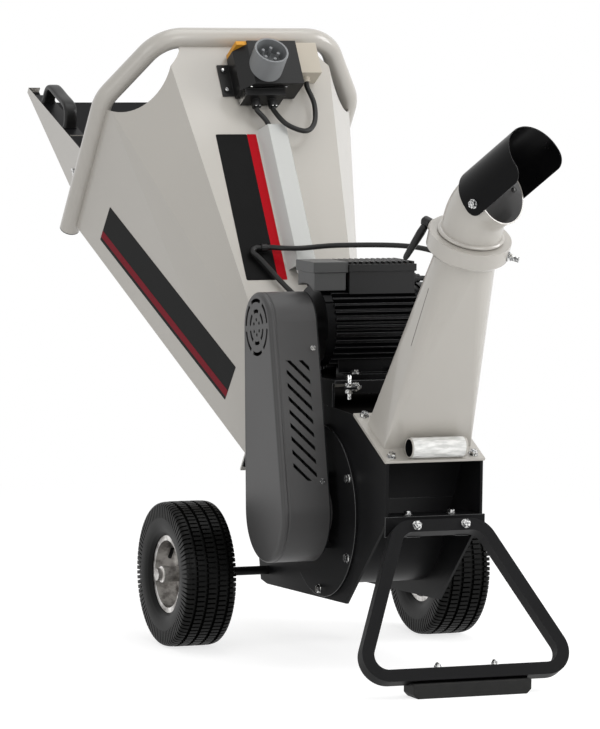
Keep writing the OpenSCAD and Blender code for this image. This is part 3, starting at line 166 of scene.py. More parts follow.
fill_light = 0.6
white = bpy.data.worlds.new("white_surround")
scene.world = white
white.use_nodes = True
white.node_tree.nodes.clear()
air = Field(white.node_tree)
level = air.seen() * (1 - fill_light) + fill_light
glow = air.node("Background", {}, {"Color": (1, 1, 1, 1), "Strength": level})
air.node("OutputWorld", {}, {0: glow})

floor_reach = 30
floor_lift = 0.74
shadow_near, shadow_far = 1.2, 3.0
floor_corners = [(floor_reach * x, floor_reach * y, 0) for x, y in ((-1, -1), (1, -1), (1, 1), (-1, 1))]
floor_mesh = bpy.data.meshes.new("floor")
floor_mesh.from_pydata(floor_corners, [], [(0, 1, 2, 3)])
floor = bpy.data.objects.new("floor", floor_mesh)
scene.collection.objects.link(floor)
floor_paint = bpy.data.materials.new("floor_white")
floor_paint.use_nodes = True
floor_paint.node_tree.nodes.clear()
sheet = Field(floor_paint.node_tree)
plain = sheet.node("BsdfDiffuse", {}, {"Color": (0.92, 0.92, 0.92, 1)})
lifted = sheet.node("AddShader", {}, {
    0: sheet.node("BsdfDiffuse", {}, {"Color": (0.42, 0.42, 0.42, 1)}),
    1: sheet.node("Emission", {}, {"Color": (1, 1, 1, 1), "Strength": floor_lift}),
})
off_middle = sheet.node("VectorMath", {"operation": "LENGTH"}, {0: sheet.node("NewGeometry")}, "Value")
blank = sheet.node("Emission", {}, {"Color": (1, 1, 1, 1), "Strength": 1.0})
fading = sheet.node("MixShader", {}, {0: off_middle.between(shadow_near, shadow_far), 1: lifted, 2: blank})
shown = sheet.node("MixShader", {}, {0: sheet.seen(), 1: plain, 2: fading})
sheet.node("OutputMaterial", {}, {0: shown})
floor_mesh.materials.append(floor_paint)


# The rotor housing: laser-cut plates and bent sheet, welded and powder-coated black, with round
# bearing plates bolted on. Every cut edge is slightly eased, so that it catches a thin line of light,
# and the eased edges are coloured lighter as a painted highlight. Dust dulls the top.
def srgb(*parts):
    """A colour given as 0 to 255, as the shader takes it."""
    return tuple((p / 255 / 12.92) if p < 11 else ((p / 255 + 0.055) / 1.055) ** 2.4 for p in parts)


def finish(name, make):
    """A material whose Principled sockets come from make(surface)."""
    made = bpy.data.materials.new(name)
    made.use_nodes = True
    shader = made.node_tree.nodes["Principled BSDF"]
    for key, value in make(Field(made.node_tree)).items():
        if isinstance(value, Field):
            made.node_tree.links.new(value.socket, shader.inputs[key])
        else:
            shader.inputs[key].default_value = value
    return made


weld_gap, flat_angle, crease_angle = 4e-6, math.radians(0.4), math.radians(32)


def eased(node, coat, width, edge=None):
    """A copy that stands for a node, with its sharp edges rounded. They may have a coat of their own."""
    cad = frame["nodes"][node]
    shape = cad.data.copy()
    if "custom_normal" in shape.attributes:
        shape.attributes.remove(shape.attributes["custom_normal"])
    work = bmesh.new()
    work.from_mesh(shape)
    bmesh.ops.remove_doubles(work, verts=work.verts[:], dist=weld_gap)
    bmesh.ops.dissolve_limit(work, angle_limit=flat_angle, verts=work.verts[:], edges=work.edges[:])
    work.to_mesh(shape)
    work.free()
    shape.materials.clear()
    shape.materials.append(coat)
    shape.shade_smooth()
    shape.set_sharp_from_angle(angle=crease_angle)
    piece = bpy.data.objects.new(node + "_eased", shape)
    scene.collection.objects.link(piece)
    if width:
        round_off = piece.modifiers.new("eased", "BEVEL")
        round_off.limit_method = "ANGLE"
        round_off.angle_limit = crease_angle
        round_off.width = width
        round_off.segments = 2
        round_off.harden_normals = True
        # The eased edges take the edge coat, a lighter colour painted as a highlight line.
        if edge:
            shape.materials.append(edge)
            round_off.material = 1
    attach(piece, cad["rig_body"])
    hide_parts(node)
    return piece


def lined(piece, coat, chosen):
    """Gives the faces that chosen picks a coat of their own."""
    piece.data.materials.append(coat)
    for face in piece.data.polygons:
        if chosen(face):
            face.material_index = len(piece.data.materials) - 1


def black_powder(f):
    patch = f.cloud(9, 4)
    return {
        "Base Color": patch.shade(srgb(16, 16, 17), srgb(23, 23, 24)),
        "Roughness": patch * 0.14 + 0.34,
        "Specular IOR Level": 0.08,
        "Normal": f.cloud(420, 2).bump(0.0002, 0.3),
    }


# A lighter, glossier colour for the eased edges only: a painted highlight.
def painted_edge_highlight(f):
    return {
        "Base Color": f.cloud(50, 4).shade(srgb(30, 30, 31), srgb(48, 48, 49)),
        "Roughness": f.cloud(120, 3) * 0.12 + 0.2,
        "Specular IOR Level": 0.8,
    }


def dusty_black(f):
    return {
        "Base Color": f.cloud(12, 5, 0.6).shade(srgb(15, 15, 15), srgb(27, 26, 25)),
        "Roughness": f.cloud(40, 3) * 0.1 + 0.8,
        "Specular IOR Level": 0.0,
    }


black_coat = finish("black_powder_coat", black_powder)
edge_highlight_coat = finish("black_rubbed_edge", painted_edge_highlight)
for node in ("left_side_plate", "right_side_plate", "left_bearing_plate", "right_bearing_plate",
             "stand_bracket", "motor_plate", "guard_back"):
    eased(node, black_coat, 0.0009, edge_highlight_coat)
shell = eased("housing_shell", black_coat, 0.0009, edge_highlight_coat)
lined(shell, finish("dusty_black", dusty_black), lambda face: face.normal.z > 0.9)


# The bearing housings, the pulleys and the rotor's drum: grey iron castings with a rough skin. The
# housings are bolted to their plates, and the pulleys and the drum sit on the shafts.
def raw_iron(f):
    lumps = f.cloud(260, 5, 0.6)
    return {
        "Base Color": f.cloud(24, 4).shade(srgb(58, 58, 60), srgb(84, 83, 82)),
        "Metallic": 0.6,
        "Roughness": lumps * 0.3 + 0.4,
        "Normal": lumps.bump(0.0005, 0.5),
    }


cast_iron = finish("cast_iron_skin", raw_iron)
for node in ("left_bearing", "right_bearing", "rotor_drum", "rotor_pulley", "motor_pulley"):
    eased(node, cast_iron, 0.001)


# The shafts and knives: steel, turned or ground, with fine marks. The knives are bolted on the drum,
# and the counter knife on the feed floor.
def ground_steel(f):
    marks = f.cloud(900, 2)
    return {
        "Base Color": f.cloud(30, 3).shade(srgb(150, 150, 152), srgb(186, 186, 187)),
        "Metallic": 1.0,
        "Roughness": marks * 0.16 + 0.24,
        "Normal": marks.bump(0.0001, 0.2),
    }


steel = finish("ground_steel", ground_steel)
for node in ("rotor_shaft", "rotor_knives", "counter_knife", "motor_shaft"):
    eased(node, steel, 0.0006)


# Bolts and screws: rolled and headed steel in bright zinc plate, with dark and light patches painted in
# its colour as glints and reflections. The flap's pins run with a little play in their lugs.
def zinc_with_painted_glints(f):
    return {
        # Dark and light patches in the colour: painted glints and reflections.
        "Base Color": f.cloud(230, 3).between(0.36, 0.64).shade(srgb(96, 97, 100), srgb(236, 236, 234)),
        "Metallic": 1.0,
        "Roughness": f.cloud(220, 2) * 0.2 + 0.1,
    }


zinc = finish("zinc_with_painted_glints", zinc_with_painted_glints)
for node in ("housing_bolts", "guard_screws", "tension_bolts", "deflector_bolts", "stand_bolts"):
    eased(node, zinc, 0.0005)
pin_reach, pin_play = 0.0063, 0.025
pins = eased("flap_bolts", zinc, 0)
low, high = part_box("flap_bolts")
pin_axis = (low + high) / 2
for corner in pins.data.vertices:
    away = Vector((0, corner.co.y - pin_axis.y, corner.co.z - pin_axis.z))
    if away.length < pin_reach:
        corner.co -= away * pin_play


# The jack bolt before the motor plate, which sets the belts' tension: a threaded bolt with lock nuts
# and washers, all zinc-plated, through a rounded steel tab.
def formed(name, points, faces, body, coat, crease=0):
    """A piece made of points and faces, smooth up to the crease angle, which rides on a body."""
    shape = bpy.data.meshes.new(name)
    shape.from_pydata(points, [], faces)
    if crease:
        shape.shade_smooth()
        shape.set_sharp_from_angle(angle=math.radians(crease))
    shape.materials.append(coat)
    piece = bpy.data.objects.new(name, shape)
    scene.collection.objects.link(piece)
    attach(piece, body)
    return piece


def tube_faces(first, rings, sides, capped=True):
    """The faces of a tube through rings of points, which start at point number first."""
    faces = []
    last = first + (rings - 1) * sides
    for ring in range(first, last, sides):
        for k in range(sides):
            beside = (k + 1) % sides
            faces.append((ring + k, ring + beside, ring + sides + beside, ring + sides + k))
    if capped:
        faces += [tuple(range(first, first + sides))[::-1], tuple(range(last, last + sides))]
    return faces


def turned(name, outline, spots, body, coat, sides=20, capped=True):
    """Pieces turned to an outline of (radius, height) in millimetres, one at each (place, axis)."""
    points, faces = [], []
    for place, axis in spots:
        turn = Vector(axis).to_track_quat("Z", "Y").to_matrix()
        faces += tube_faces(len(points), len(outline), sides, capped)
        for radius, height in outline:
            for k in range(sides):
                a = k * math.tau / sides
                spoke = turn @ Vector((radius * math.cos(a), radius * math.sin(a), height)) / 1000
                points.append(Vector(place) + spoke)
    return formed(name, points, faces, body, coat, crease=35)


def plate(name, corner, along_it, across_it, size, coat, radius=0.004, thick=0.0003, steps=4):
    """A thin plate with rounded corners, from one corner along two directions."""
    out = along_it.cross(across_it).normalized()
    length, width = size
    far, wide = length - radius, width - radius
    outline = []
    for u, v, start in ((far, wide, 0), (radius, wide, 90), (radius, radius, 180), (far, radius, 270)):
        for k in range(steps + 1):
            a = math.radians(start + k * 90 / steps)
            outline.append((u + radius * math.cos(a), v + radius * math.sin(a)))
    points = [corner + along_it * u + across_it * v + out * h for h in (0, thick) for u, v in outline]
    return formed(name, points, tube_faces(0, 2, len(outline)), "chassis", coat)


jack_foot = Vector((-0.090, -0.4505, 0.600))
nut_heights, washer_heights = (0.0078, 0.0240), (0.0151, 0.0221)
upward = Vector((0, 0, 1))
rightward = Vector((1, 0, 0))
turned("jack_bolt", [(4.4, -6), (5, -5.4), (5, 47), (4, 49)], [(jack_foot, upward)], "chassis", zinc)
turned("jack_nuts", [(8, 0), (9.2, 0.8), (9.2, 6.4), (8, 7.2)],
       [(jack_foot + upward * z, upward) for z in nut_heights], "chassis", zinc, sides=6)
turned("jack_washers", [(10.4, 0), (10.8, 0.4), (10.8, 1.5), (10.4, 1.9)],
       [(jack_foot + upward * z, upward) for z in washer_heights], "chassis", zinc)
plate("jack_tab", Vector((-0.106, -0.437, 0.6171)), Vector((0, -1, 0)), rightward, (0.0265, 0.032),
      black_coat, radius=0.006, thick=0.005)

# The wheels: wide moulded turf tyres on pressed steel rims. The tread is five rows of small blocks, the
# outer rows turn down over the shoulders, and the side wall has two thin ribs.
tyre_r, tyre_half, tyre_mid = 0.165, 0.060, 0.140
bead_r, bead_x, flange_r = 0.080, 0.043, 0.0884
squareness, shoulder_squareness = 0.55, 0.32
wall_start, wall_sweep, wall_steps = -48, 72, 21
# Each rib has a height, a radius and a width.
wall_ribs = ((0.0012, 0.128, 0.0016), (0.0008, 0.097, 0.0014))
tread_from, tread_fade = 0.137, 0.006
# Steps and cuts are shares of the way from one block to the next.
block_count, groove_deep = 88, 0.0075
block_steps = (0.0, 0.05, 0.29, 0.34, 0.5, 0.55, 0.79, 0.84)
cut_start, cut_end = 0.03, 0.31
ring_grooves = (-0.0384, -0.0132, 0.0132, 0.0384)
groove_half, groove_floor, block_half = 0.0036, 0.0028, 0.0126
shoulder_steps = [0.0558, 0.0545, 0.052, 0.049, 0.0455]
lean_from, lean_over, lean_most = 0.046, 0.010, 0.8


def squarish(v, power=squareness):
    return math.copysign(abs(v) ** power, v)


def tread_profile():
    """Points (along the axle, radius, share of the tread's depth, row of blocks) from bead to bead."""
    wall = [(bead_x, flange_r, 0, 0)]
    for k in range(wall_steps + 1):
        a = math.radians(wall_start + k * wall_sweep / wall_steps)
        power = shoulder_squareness if a > 0 else squareness
        r = tyre_mid + ((tyre_r - tyre_mid) if a > 0 else (tyre_mid - bead_r)) * squarish(math.sin(a), power)
        rib = sum(high * math.exp(-(((r - at) / wide) ** 2)) for high, at, wide in wall_ribs)
        share = min(max((r - tread_from) / tread_fade, 0), 1)
        wall.append((min(tyre_half * squarish(math.cos(a), power) + rib, tyre_half), r, share, 0))
    crown = shoulder_steps[:]
    for g in ring_grooves[::-1]:
        crown += [g + groove_half, g + groove_floor, g, g - groove_floor, g - groove_half]
        if g > ring_grooves[0]:
            crown.append(g - block_half)
    crown += [-x for x in shoulder_steps[::-1]]
    over = []
    for x in crown:
        drop = max(1 - (abs(x) / tyre_half) ** (2 / shoulder_squareness), 0) ** (shoulder_squareness / 2)
        in_groove = any(abs(x - g) < (groove_floor + groove_half) / 2 for g in ring_grooves)
        row = sum(x < g for g in ring_grooves)
        over.append((x, tyre_mid + (tyre_r - tyre_mid) * drop, 2 if in_groove else 1, row))
    last_row = len(ring_grooves)
    far_wall = [(-x, r, share, last_row) for x, r, share, _ in wall[::-1]]
    return [(bead_x, bead_r, 0, 0)] + wall + over + far_wall + [(-bead_x, bead_r, 0, last_row)]


def turf_tyre(name, centre, body, coat):
    profile = tread_profile()
    turns = [(block + step) / block_count * math.tau for block in range(block_count) for step in block_steps]
    points, faces = [], []
    for i, turn in enumerate(turns):
        phase = block_steps[i % len(block_steps)]
        for x, r, share, row in profile:
            cut = share > 1 or cut_start < (phase + 0.5 * (row % 2)) % 1 < cut_end
            deep = groove_deep * min(share, 1) if cut else 0
            lean = min(max((abs(x) - lean_from) / lean_over, 0), lean_most)
            inner, low = x - math.copysign(deep * lean, x), r - deep * (1 - lean)
            y, z = low * math.cos(turn), low * math.sin(turn)
            points.append((centre.x + inner, centre.y + y, centre.z + z))
    n, m = len(turns), len(profile)
    for i in range(n):
        ring, next_ring = i * m, (i + 1) % n * m
        for j in range(m):
            beside = (j + 1) % m
            faces.append((ring + j, ring + beside, next_ring + beside, next_ring + j))
    return formed(name, points, faces, body, coat, crease=34)


def worn_rubber(f):
    dust = f.cloud(14, 4)
    return {
        "Base Color": dust.shade(srgb(5, 5, 5), srgb(10, 10, 9)),
        "Roughness": dust * 0.2 + 0.3,
        "Specular IOR Level": 0.12,
        "Normal": f.cloud(700, 2).bump(0.0002, 0.3),
    }


def rim_with_painted_reflections(f):
    patch = f.cloud(34, 5, 0.6)
    return {
        # Dark and light patches in the colour: painted reflections.
        "Base Color": patch.between(0.36, 0.64).shade(srgb(138, 134, 131), srgb(226, 224, 221)),
        "Metallic": 0.85,
        "Roughness": patch * 0.2 + 0.2,
        "Normal": f.cloud(300, 3).bump(0.0002, 0.25),
    }


def near_line(foot, tip, reach):
    """Picks the faces that lie along a line from foot towards tip."""
    way = (tip - foot).normalized()

    def chosen(face):
        up = (face.center - foot).dot(way)
        return up > 0 and (face.center - foot - way * up).length < reach
    return chosen


tyre_rubber = finish("tyre_rubber", worn_rubber)
rim_metal = finish("rim_silver_painted_reflections", rim_with_painted_reflections)
# The valve's rubber stem leans out of the dish, from foot to tip, as (out of the middle, radius) in mm.
stem_turn, stem_r = math.radians(50), 0.0052
stem_foot, stem_tip = (11.2, 74.5), (25, 51.6)
stem_spoke = Vector((0, math.sin(stem_turn), math.cos(stem_turn)))
for side, out in (("left", -1), ("right", 1)):
    low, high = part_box(side + "_tyre")
    middle = (low + high) / 2
    tyre = turf_tyre(side + "_turf_tyre", middle, side + "_wheel", tyre_rubber)
    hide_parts(side + "_tyre")
    rim = eased(side + "_rim", rim_metal, 0.0012)
    foot, tip = (
        middle + rightward * out * x / 1000 + stem_spoke * r / 1000 for x, r in (stem_foot, stem_tip)
    )
    lined(rim, tyre_rubber, near_line(foot, tip, stem_r))

# The axle: one steel bar through the rear of the housing, black as the housing is. Collars keep it in
# place, and bright pressed caps hold the wheels on.
# The caps take the rim's coat, with its painted reflections.
eased("axle_caps", rim_metal, 0.0006)
for node in ("axle", "axle_collars"):
    eased(node, black_coat, 0.001, edge_highlight_coat)


# The stand: a loop of square tube, bent and powder-coated, bolted to the housing by its bracket. A hard
# rubber block is bolted on as its foot.
def hard_rubber(f):
    return {
        "Base Color": f.cloud(30, 4).shade(srgb(24, 24, 24), srgb(38, 38, 37)),
        "Roughness": f.cloud(90, 3) * 0.2 + 0.55,
        "Specular IOR Level": 0.2,
        "Normal": f.cloud(500, 3).bump(0.0003, 0.4),
    }


eased("stand_loop", black_coat, 0.0022, edge_highlight_coat)
eased("foot_block", finish("block_rubber", hard_rubber), 0.002)


# The motor: a black cast body with cooling fins, end shields and a pressed fan cowl, on a plate above
# the housing. A grey and a black plastic box for its wiring stand on top.
def motor_black(f):
    patch = f.cloud(16, 4)
    return {
        "Base Color": patch.shade(srgb(5, 5, 6), srgb(10, 10, 11)),
        "Roughness": patch * 0.16 + 0.22,
        "Specular IOR Level": 0.08,
        "Normal": f.cloud(340, 3).bump(0.0003, 0.35),
    }


def moulded(dark, light, rough, grain=0.3):
    """Moulded plastic with a fine spark-eroded skin."""
    def make(f):
        patch = f.cloud(7, 3)
        return {
            "Base Color": patch.shade(srgb(*dark), srgb(*light)),
            "Roughness": patch * 0.12 + rough,
            "Specular IOR Level": 0.3,
            "Normal": f.cloud(1100, 2).bump(0.00015, grain),
        }
    return make


motor_coat = finish("motor_black_paint", motor_black)
for node in ("motor_body", "motor_shields", "fan_cowl"):
    eased(node, motor_coat, 0.0009, edge_highlight_coat)
eased("terminal_box", finish("terminal_box_grey", moulded((58, 59, 60), (70, 70, 69), 0.36)), 0.002)
eased("brake_box", finish("brake_box_black", moulded((20, 20, 21), (27, 27, 27), 0.28)), 0.0018)
black_plastic = finish("black_plastic", moulded((13, 13, 13), (20, 20, 20), 0.3))
eased("motor_fan", black_plastic, 0.0006)

# The drive belts: closed loops of hard rubber with a V section. They run in the grooves of both pulleys
# and carry the motor's turning down to the rotor.
eased("drive_belts", finish("belt_rubber", hard_rubber), 0.0004)

# The belt guard: one dark grey plastic moulding with vents, screwed to a steel back plate. It covers
# both pulleys and the belts.
eased("belt_guard", finish("guard_plastic", moulded((56, 56, 56), (66, 65, 65), 0.34, 0.4)), 0.0012)


# The discharge: a folded and welded chute with a seam down its side, in warm grey gloss paint with a
# slight orange peel. A bent steel elbow with a rolled bead, a little darker and duller grey inside,
# swivels on the chute's collar, and a black sheet hood tilts on the elbow.
def gloss_paint(dark, light):
    def make(f):
        return {
            "Base Color": f.cloud(3.5, 3).shade(srgb(*dark), srgb(*light)),
            "Roughness": f.cloud(22, 4) * 0.08 + 0.3,
            "Coat Weight": 0.6,
            "Coat Roughness": 0.07,
            "Normal": f.cloud(170, 2).bump(0.0003, 0.1),
        }
    return make


def darker_bore(f):
    return {
        "Base Color": f.cloud(26, 4).shade(srgb(150, 150, 151), srgb(166, 165, 164)),
        "Metallic": 0.0,
        "Roughness": f.cloud(70, 3) * 0.2 + 0.4,
    }


grey_gloss = finish("grey_gloss_paint", gloss_paint((170, 166, 159), (176, 172, 165)))
for node in ("discharge_chute", "chute_collar"):
    eased(node, grey_gloss, 0.001)
# A thin black strip down the chute's left side stands for the seam's shadow line: painted shade.
seam_top, seam_foot = Vector((-0.0721, -0.8259, 0.8685)), Vector((-0.0838, -0.7650, 0.7397))
seam_way = (seam_foot - seam_top).normalized()
chute_side = Vector((-1, -0.04, 0.07)).normalized()
plate("chute_seam_shadow", seam_top, seam_way, chute_side.cross(seam_way), ((seam_foot - seam_top).length, 0.0010),
      black_coat, radius=0.0004)

joints = {joint["name"]: joint for joint in frame["joints"]}
swivel, swivel_axis = Vector(joints["elbow_swivel"]["pos_m"]), Vector(joints["elbow_swivel"]["axis"])
bore_gap, bore_across, bead_rise = 0.002, 0.135, 0.0605
elbow = eased("elbow", grey_gloss, 0.001)
elbow_walls = BVHTree.FromPolygons(
    [corner.co for corner in elbow.data.vertices], [face.vertices[:] for face in elbow.data.polygons]
)


def in_bore(face):
    """Whether a face of the elbow looks at the wall across the bore."""
    spot = elbow_walls.ray_cast(face.center + face.normal * bore_gap, face.normal, bore_across)[0]
    return spot is not None and abs(face.normal.dot(swivel_axis)) < 0.9


# The faces inside the bore get a darker, duller grey.
lined(elbow, finish("darker_bore", darker_bore), in_bore)
turned("elbow_bead", [(65.6, 0), (69, 0.2), (71.8, 1.8), (72.8, 4.4), (71.8, 7), (69, 9), (65.6, 9.6)],
       [(swivel + swivel_axis * bead_rise, swivel_axis)], "elbow", grey_gloss,
       sides=64, capped=False)
eased("deflector", motor_coat, 0.0007, edge_highlight_coat)

# The clamp on the collar: a moulded black hub on a stud, and a tapered arm moulded on with it.
# Turning the arm tightens the collar round the elbow.
hub, hub_axis = Vector(joints["clamp_turn"]["pos_m"]), Vector(joints["clamp_turn"]["axis"])
arm_rise, arm_way = 0.022, Vector((-0.51571, 0.07760, -0.85324))
hub_outline = [(6, 1), (6, 12), (11, 12), (12, 13.2), (12, 28), (10.6, 31), (6, 32.2), (5.4, 34.6),
               (0.5, 35)]
arm_outline = [(6, 8), (8.4, 12), (9.3, 26), (8.6, 46), (7.4, 70), (6.6, 86), (5.2, 91.5), (2.8, 94),
               (0.4, 94.5)]
lever = turned("lever_hub", hub_outline, [(hub, hub_axis)], "clamp_lever", black_plastic,
               sides=28)
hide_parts("clamp_lever")
turned("lever_arm", arm_outline, [(hub + hub_axis * arm_rise, arm_way)], "clamp_lever", black_plastic,
       sides=24)

# The lifting tube: a short painted tube welded on the discharge flange, with the black coat on its inner
# faces as painted shade. It is wrapped in a crumpled clear film, as it left the works.
lifting_tube = eased("flange_tube", grey_gloss, 0.0008)
low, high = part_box("flange_tube")
tube_axis = (low + high) / 2
film_r, film_wave, film_rings, film_sides = 0.02245, 0.00022, 40, 40
film_start, film_short = 0.003, 0.008


def looks_inward(face):
    return face.normal.dot(face.center - Vector((face.center.x, tube_axis.y, tube_axis.z))) < -0.01


# The film's colour runs in light and darker streaks over its folds: painted glints, with real bumps.
def clear_film(f):
    drawn_out = f.node("Mapping", {}, {"Vector": f.place(), "Scale": (0.22, 1, 1)})
    folds_and_glints = f.node("TexNoise", {}, {"Vector": drawn_out, "Scale": 140, "Detail": 4})
    return {
        "Base Color": folds_and_glints.between(0.3, 0.7).shade(srgb(196, 196, 193), srgb(236, 236, 233)),
        "Roughness": folds_and_glints * 0.2 + 0.12,
        "Coat Weight": 0.5,
        "Normal": folds_and_glints.bump(0.002, 0.5),
    }


# The inner faces take the black coat: painted shade inside the tube.
lined(lifting_tube, black_coat, looks_inward)
points = []
for j in range(film_rings):
    x = low.x + film_start + (high.x - low.x - film_short) * j / (film_rings - 1)
    for k in range(film_sides):
        a = k * math.tau / film_sides
        folds = math.sin(5 * a + 90 * x) + math.sin(11 * a - 210 * x + 2 * math.sin(3 * a))
        r = film_r + film_wave * folds
        points.append((x, tube_axis.y + r * math.cos(a), tube_axis.z + r * math.sin(a)))
formed("tube_film", points, tube_faces(0, film_rings, film_sides, capped=False), "chassis",
       finish("clear_film", clear_film), crease=180)

# The hopper: folded and welded sheet in the same grey gloss, with hinge lugs for the flap. A bent tube
# frames its mouth, and plastic plugs close the tube's ends. Its sizes are in millimetres.
for node in ("hopper", "mouth_frame", "flap_lugs"):
    eased(node, grey_gloss, 0.001)
hopper_len, mouth_over, mouth_half, inlet_half = 846, 366, 316, 108
frame_end = 202
tilt = math.radians(34.7)
inlet_corner = Vector((0, -0.08116, 0.587))


def in_hopper(x, s, n):
    """A point by the hopper's own directions: across, down its mouth, and from inlet to mouth."""
    y, z = s * math.sin(tilt) + n * math.cos(tilt), n * math.sin(tilt) - s * math.cos(tilt)
    return inlet_corner + Vector((x, y, z)) / 1000


mouth_down = Vector((0, math.sin(tilt), -math.cos(tilt)))
plug_outline = [(23.4, -0.5), (24, 0), (24, 2.2), (22.6, 3.4), (0.5, 3.6)]
plug_spots = [(in_hopper(x, frame_end, hopper_len), mouth_down) for x in (-mouth_half, mouth_half)]
turned("frame_plugs", plug_outline, plug_spots, "chassis", black_plastic)

# The feed flap: a folded grey tray on two pins, whose inner faces are coloured black. A moulded black
# bow handle is screwed to its left wall, and thumb nuts with washers hold both walls.
flap = eased("flap", grey_gloss, 0.0008)
lined(flap, finish("flap_inner_black", black_powder), lambda face: (
    -face.center.x * face.normal.x > 0.1 or (abs(face.normal.x) < 0.5 and face.normal.z > 0.3)))


def along(points, steps):
    """A smooth line through the points."""
    line = []
    last = len(points) - 1
    for i in range(last):
        a, b, c, d = points[max(i - 1, 0)], points[i], points[i + 1], points[min(i + 2, last)]
        for j in range(steps):
            t = j / steps
            line.append(0.5 * (2 * b + (c - a) * t + (2 * a - 5 * b + 4 * c - d) * t * t
                               + (3 * b - a - 3 * c + d) * t ** 3))
    return line + [points[-1]]


handle_foot = Vector((-0.269, 0.941756, 1.166708))
handle_way, handle_up = Vector((0, 0.94133, 0.33749)), Vector((0, -0.33749, 0.94133))
handle_half_w, handle_half_t = 0.0158, 0.0072
handle_flare, flare_rings = 0.14, 3
handle_steps, handle_sides = 6, 28
bow_route = ((-82, 0.5), (-79.5, 20), (-71, 40), (-52, 49.6), (0, 49.6),
             (52, 49.6), (71, 40), (79.5, 20), (82, 0.5))
bow = along([handle_foot + (handle_way * u + handle_up * h) / 1000 for u, h in bow_route], handle_steps)
last = len(bow) - 1
points = []
for k, spot in enumerate(bow):
    beside = (bow[min(k + 1, last)] - bow[max(k - 1, 0)]).normalized().cross(rightward)
    flare = 1 + handle_flare * max(0, 1 - min(k, last - k) / flare_rings)
    for i in range(handle_sides):
        a = i * math.tau / handle_sides
        wide = rightward * handle_half_w * squarish(math.cos(a))
        points.append(spot + flare * (wide + beside * handle_half_t * squarish(math.sin(a))))
handle = formed("bow_handle", points, tube_faces(0, len(bow), handle_sides), "feed_flap", black_plastic,
                crease=50)
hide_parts("flap_handle")

nut_x, nut_y, nut_z = 0.288, 0.768, 1.036
wing_out, wing_way = 0.006, (0, 0.6, 0.8)
nut_outline = [(9, 0), (9.4, 0.4), (9.4, 1.6), (9, 2), (5, 2), (5, 7), (4, 8.2), (0.5, 9)]
wing_outline = [(2, -11), (4.4, -8), (3.4, -2), (3.4, 2), (4.4, 8), (2, 11)]
for out in (-1, 1):
    wall = Vector((out * nut_x, nut_y, nut_z))
    turned("thumb_nut", nut_outline, [(wall, (out, 0, 0))], "feed_flap", zinc)
    turned("thumb_wing", wing_outline, [(wall + Vector((out * wing_out, 0, 0)), wing_way)], "feed_flap",
           zinc, sides=10)

# The controls: a black switch box with its shrouded inlet, an ochre face plate with push buttons, and a
# pale side box, all moulded plastic. They stand on the hopper's top panel, above a pale folded duct.
eased("switch_box", black_plastic, 0.002)
eased("power_inlet", finish("inlet_grey", moulded((112, 114, 116), (126, 128, 129), 0.32)), 0.0012)
eased("switch_face", finish("face_plate_ochre", moulded((196, 138, 40), (214, 152, 48), 0.34)), 0.0012)
eased("start_button", finish("start_green", moulded((24, 112, 52), (32, 128, 62), 0.3)), 0.001)
eased("stop_button", finish("stop_red", moulded((176, 24, 26), (194, 32, 32), 0.3)), 0.001)
eased("side_box", finish("side_box_beige", moulded((172, 164, 150), (182, 175, 162), 0.36)), 0.002)
clip_reach = -0.05
duct = eased("cable_duct", finish("duct_white_grey", gloss_paint((178, 179, 176), (186, 187, 184))), 0.0012)
lined(duct, black_plastic, lambda face: face.center.x < clip_reach)

# The leads: black rubber cables, round and 12 mm thick. Glands hold them at the switch box, the side box
# and the motor's box, and the duct and a clip lead them over the panel.
panel = math.atan2(mouth_over, hopper_len)
switch_v = math.hypot(mouth_over, hopper_len) - 110
duct_v, duct_end, clip_v = switch_v - 140, switch_v - 530, switch_v - 458
gland_top, gland_foot = switch_v - 86, switch_v - 94
motor_gland = Vector((0.109, -0.35516, 0.853))
lead_r, lead_sides, lead_steps = 0.006, 16, 8
cable_rubber = finish("cable_rubber", moulded((16, 16, 16), (25, 25, 24), 0.38))


def on_panel(x, v, z):
    """A point on the hopper's top panel, in millimetres across it, up it and off it."""
    return in_hopper(
        x, -math.sin(panel) * v - math.cos(panel) * z, math.cos(panel) * v - math.sin(panel) * z
    )


def lead(name, route):
    line = along(route, lead_steps)
    last = len(line) - 1
    points = []
    normal = None
    for k, spot in enumerate(line):
        way = (line[min(k + 1, last)] - line[max(k - 1, 0)]).normalized()
        normal = way.orthogonal() if normal is None else normal - way * normal.dot(way)
        normal.normalize()
        beside = way.cross(normal)
        for i in range(lead_sides):
            a = i * math.tau / lead_sides
            points.append(spot + lead_r * (math.cos(a) * normal + math.sin(a) * beside))
    return formed(name, points, tube_faces(0, len(line), lead_sides), "chassis", cable_rubber,
                  crease=50)


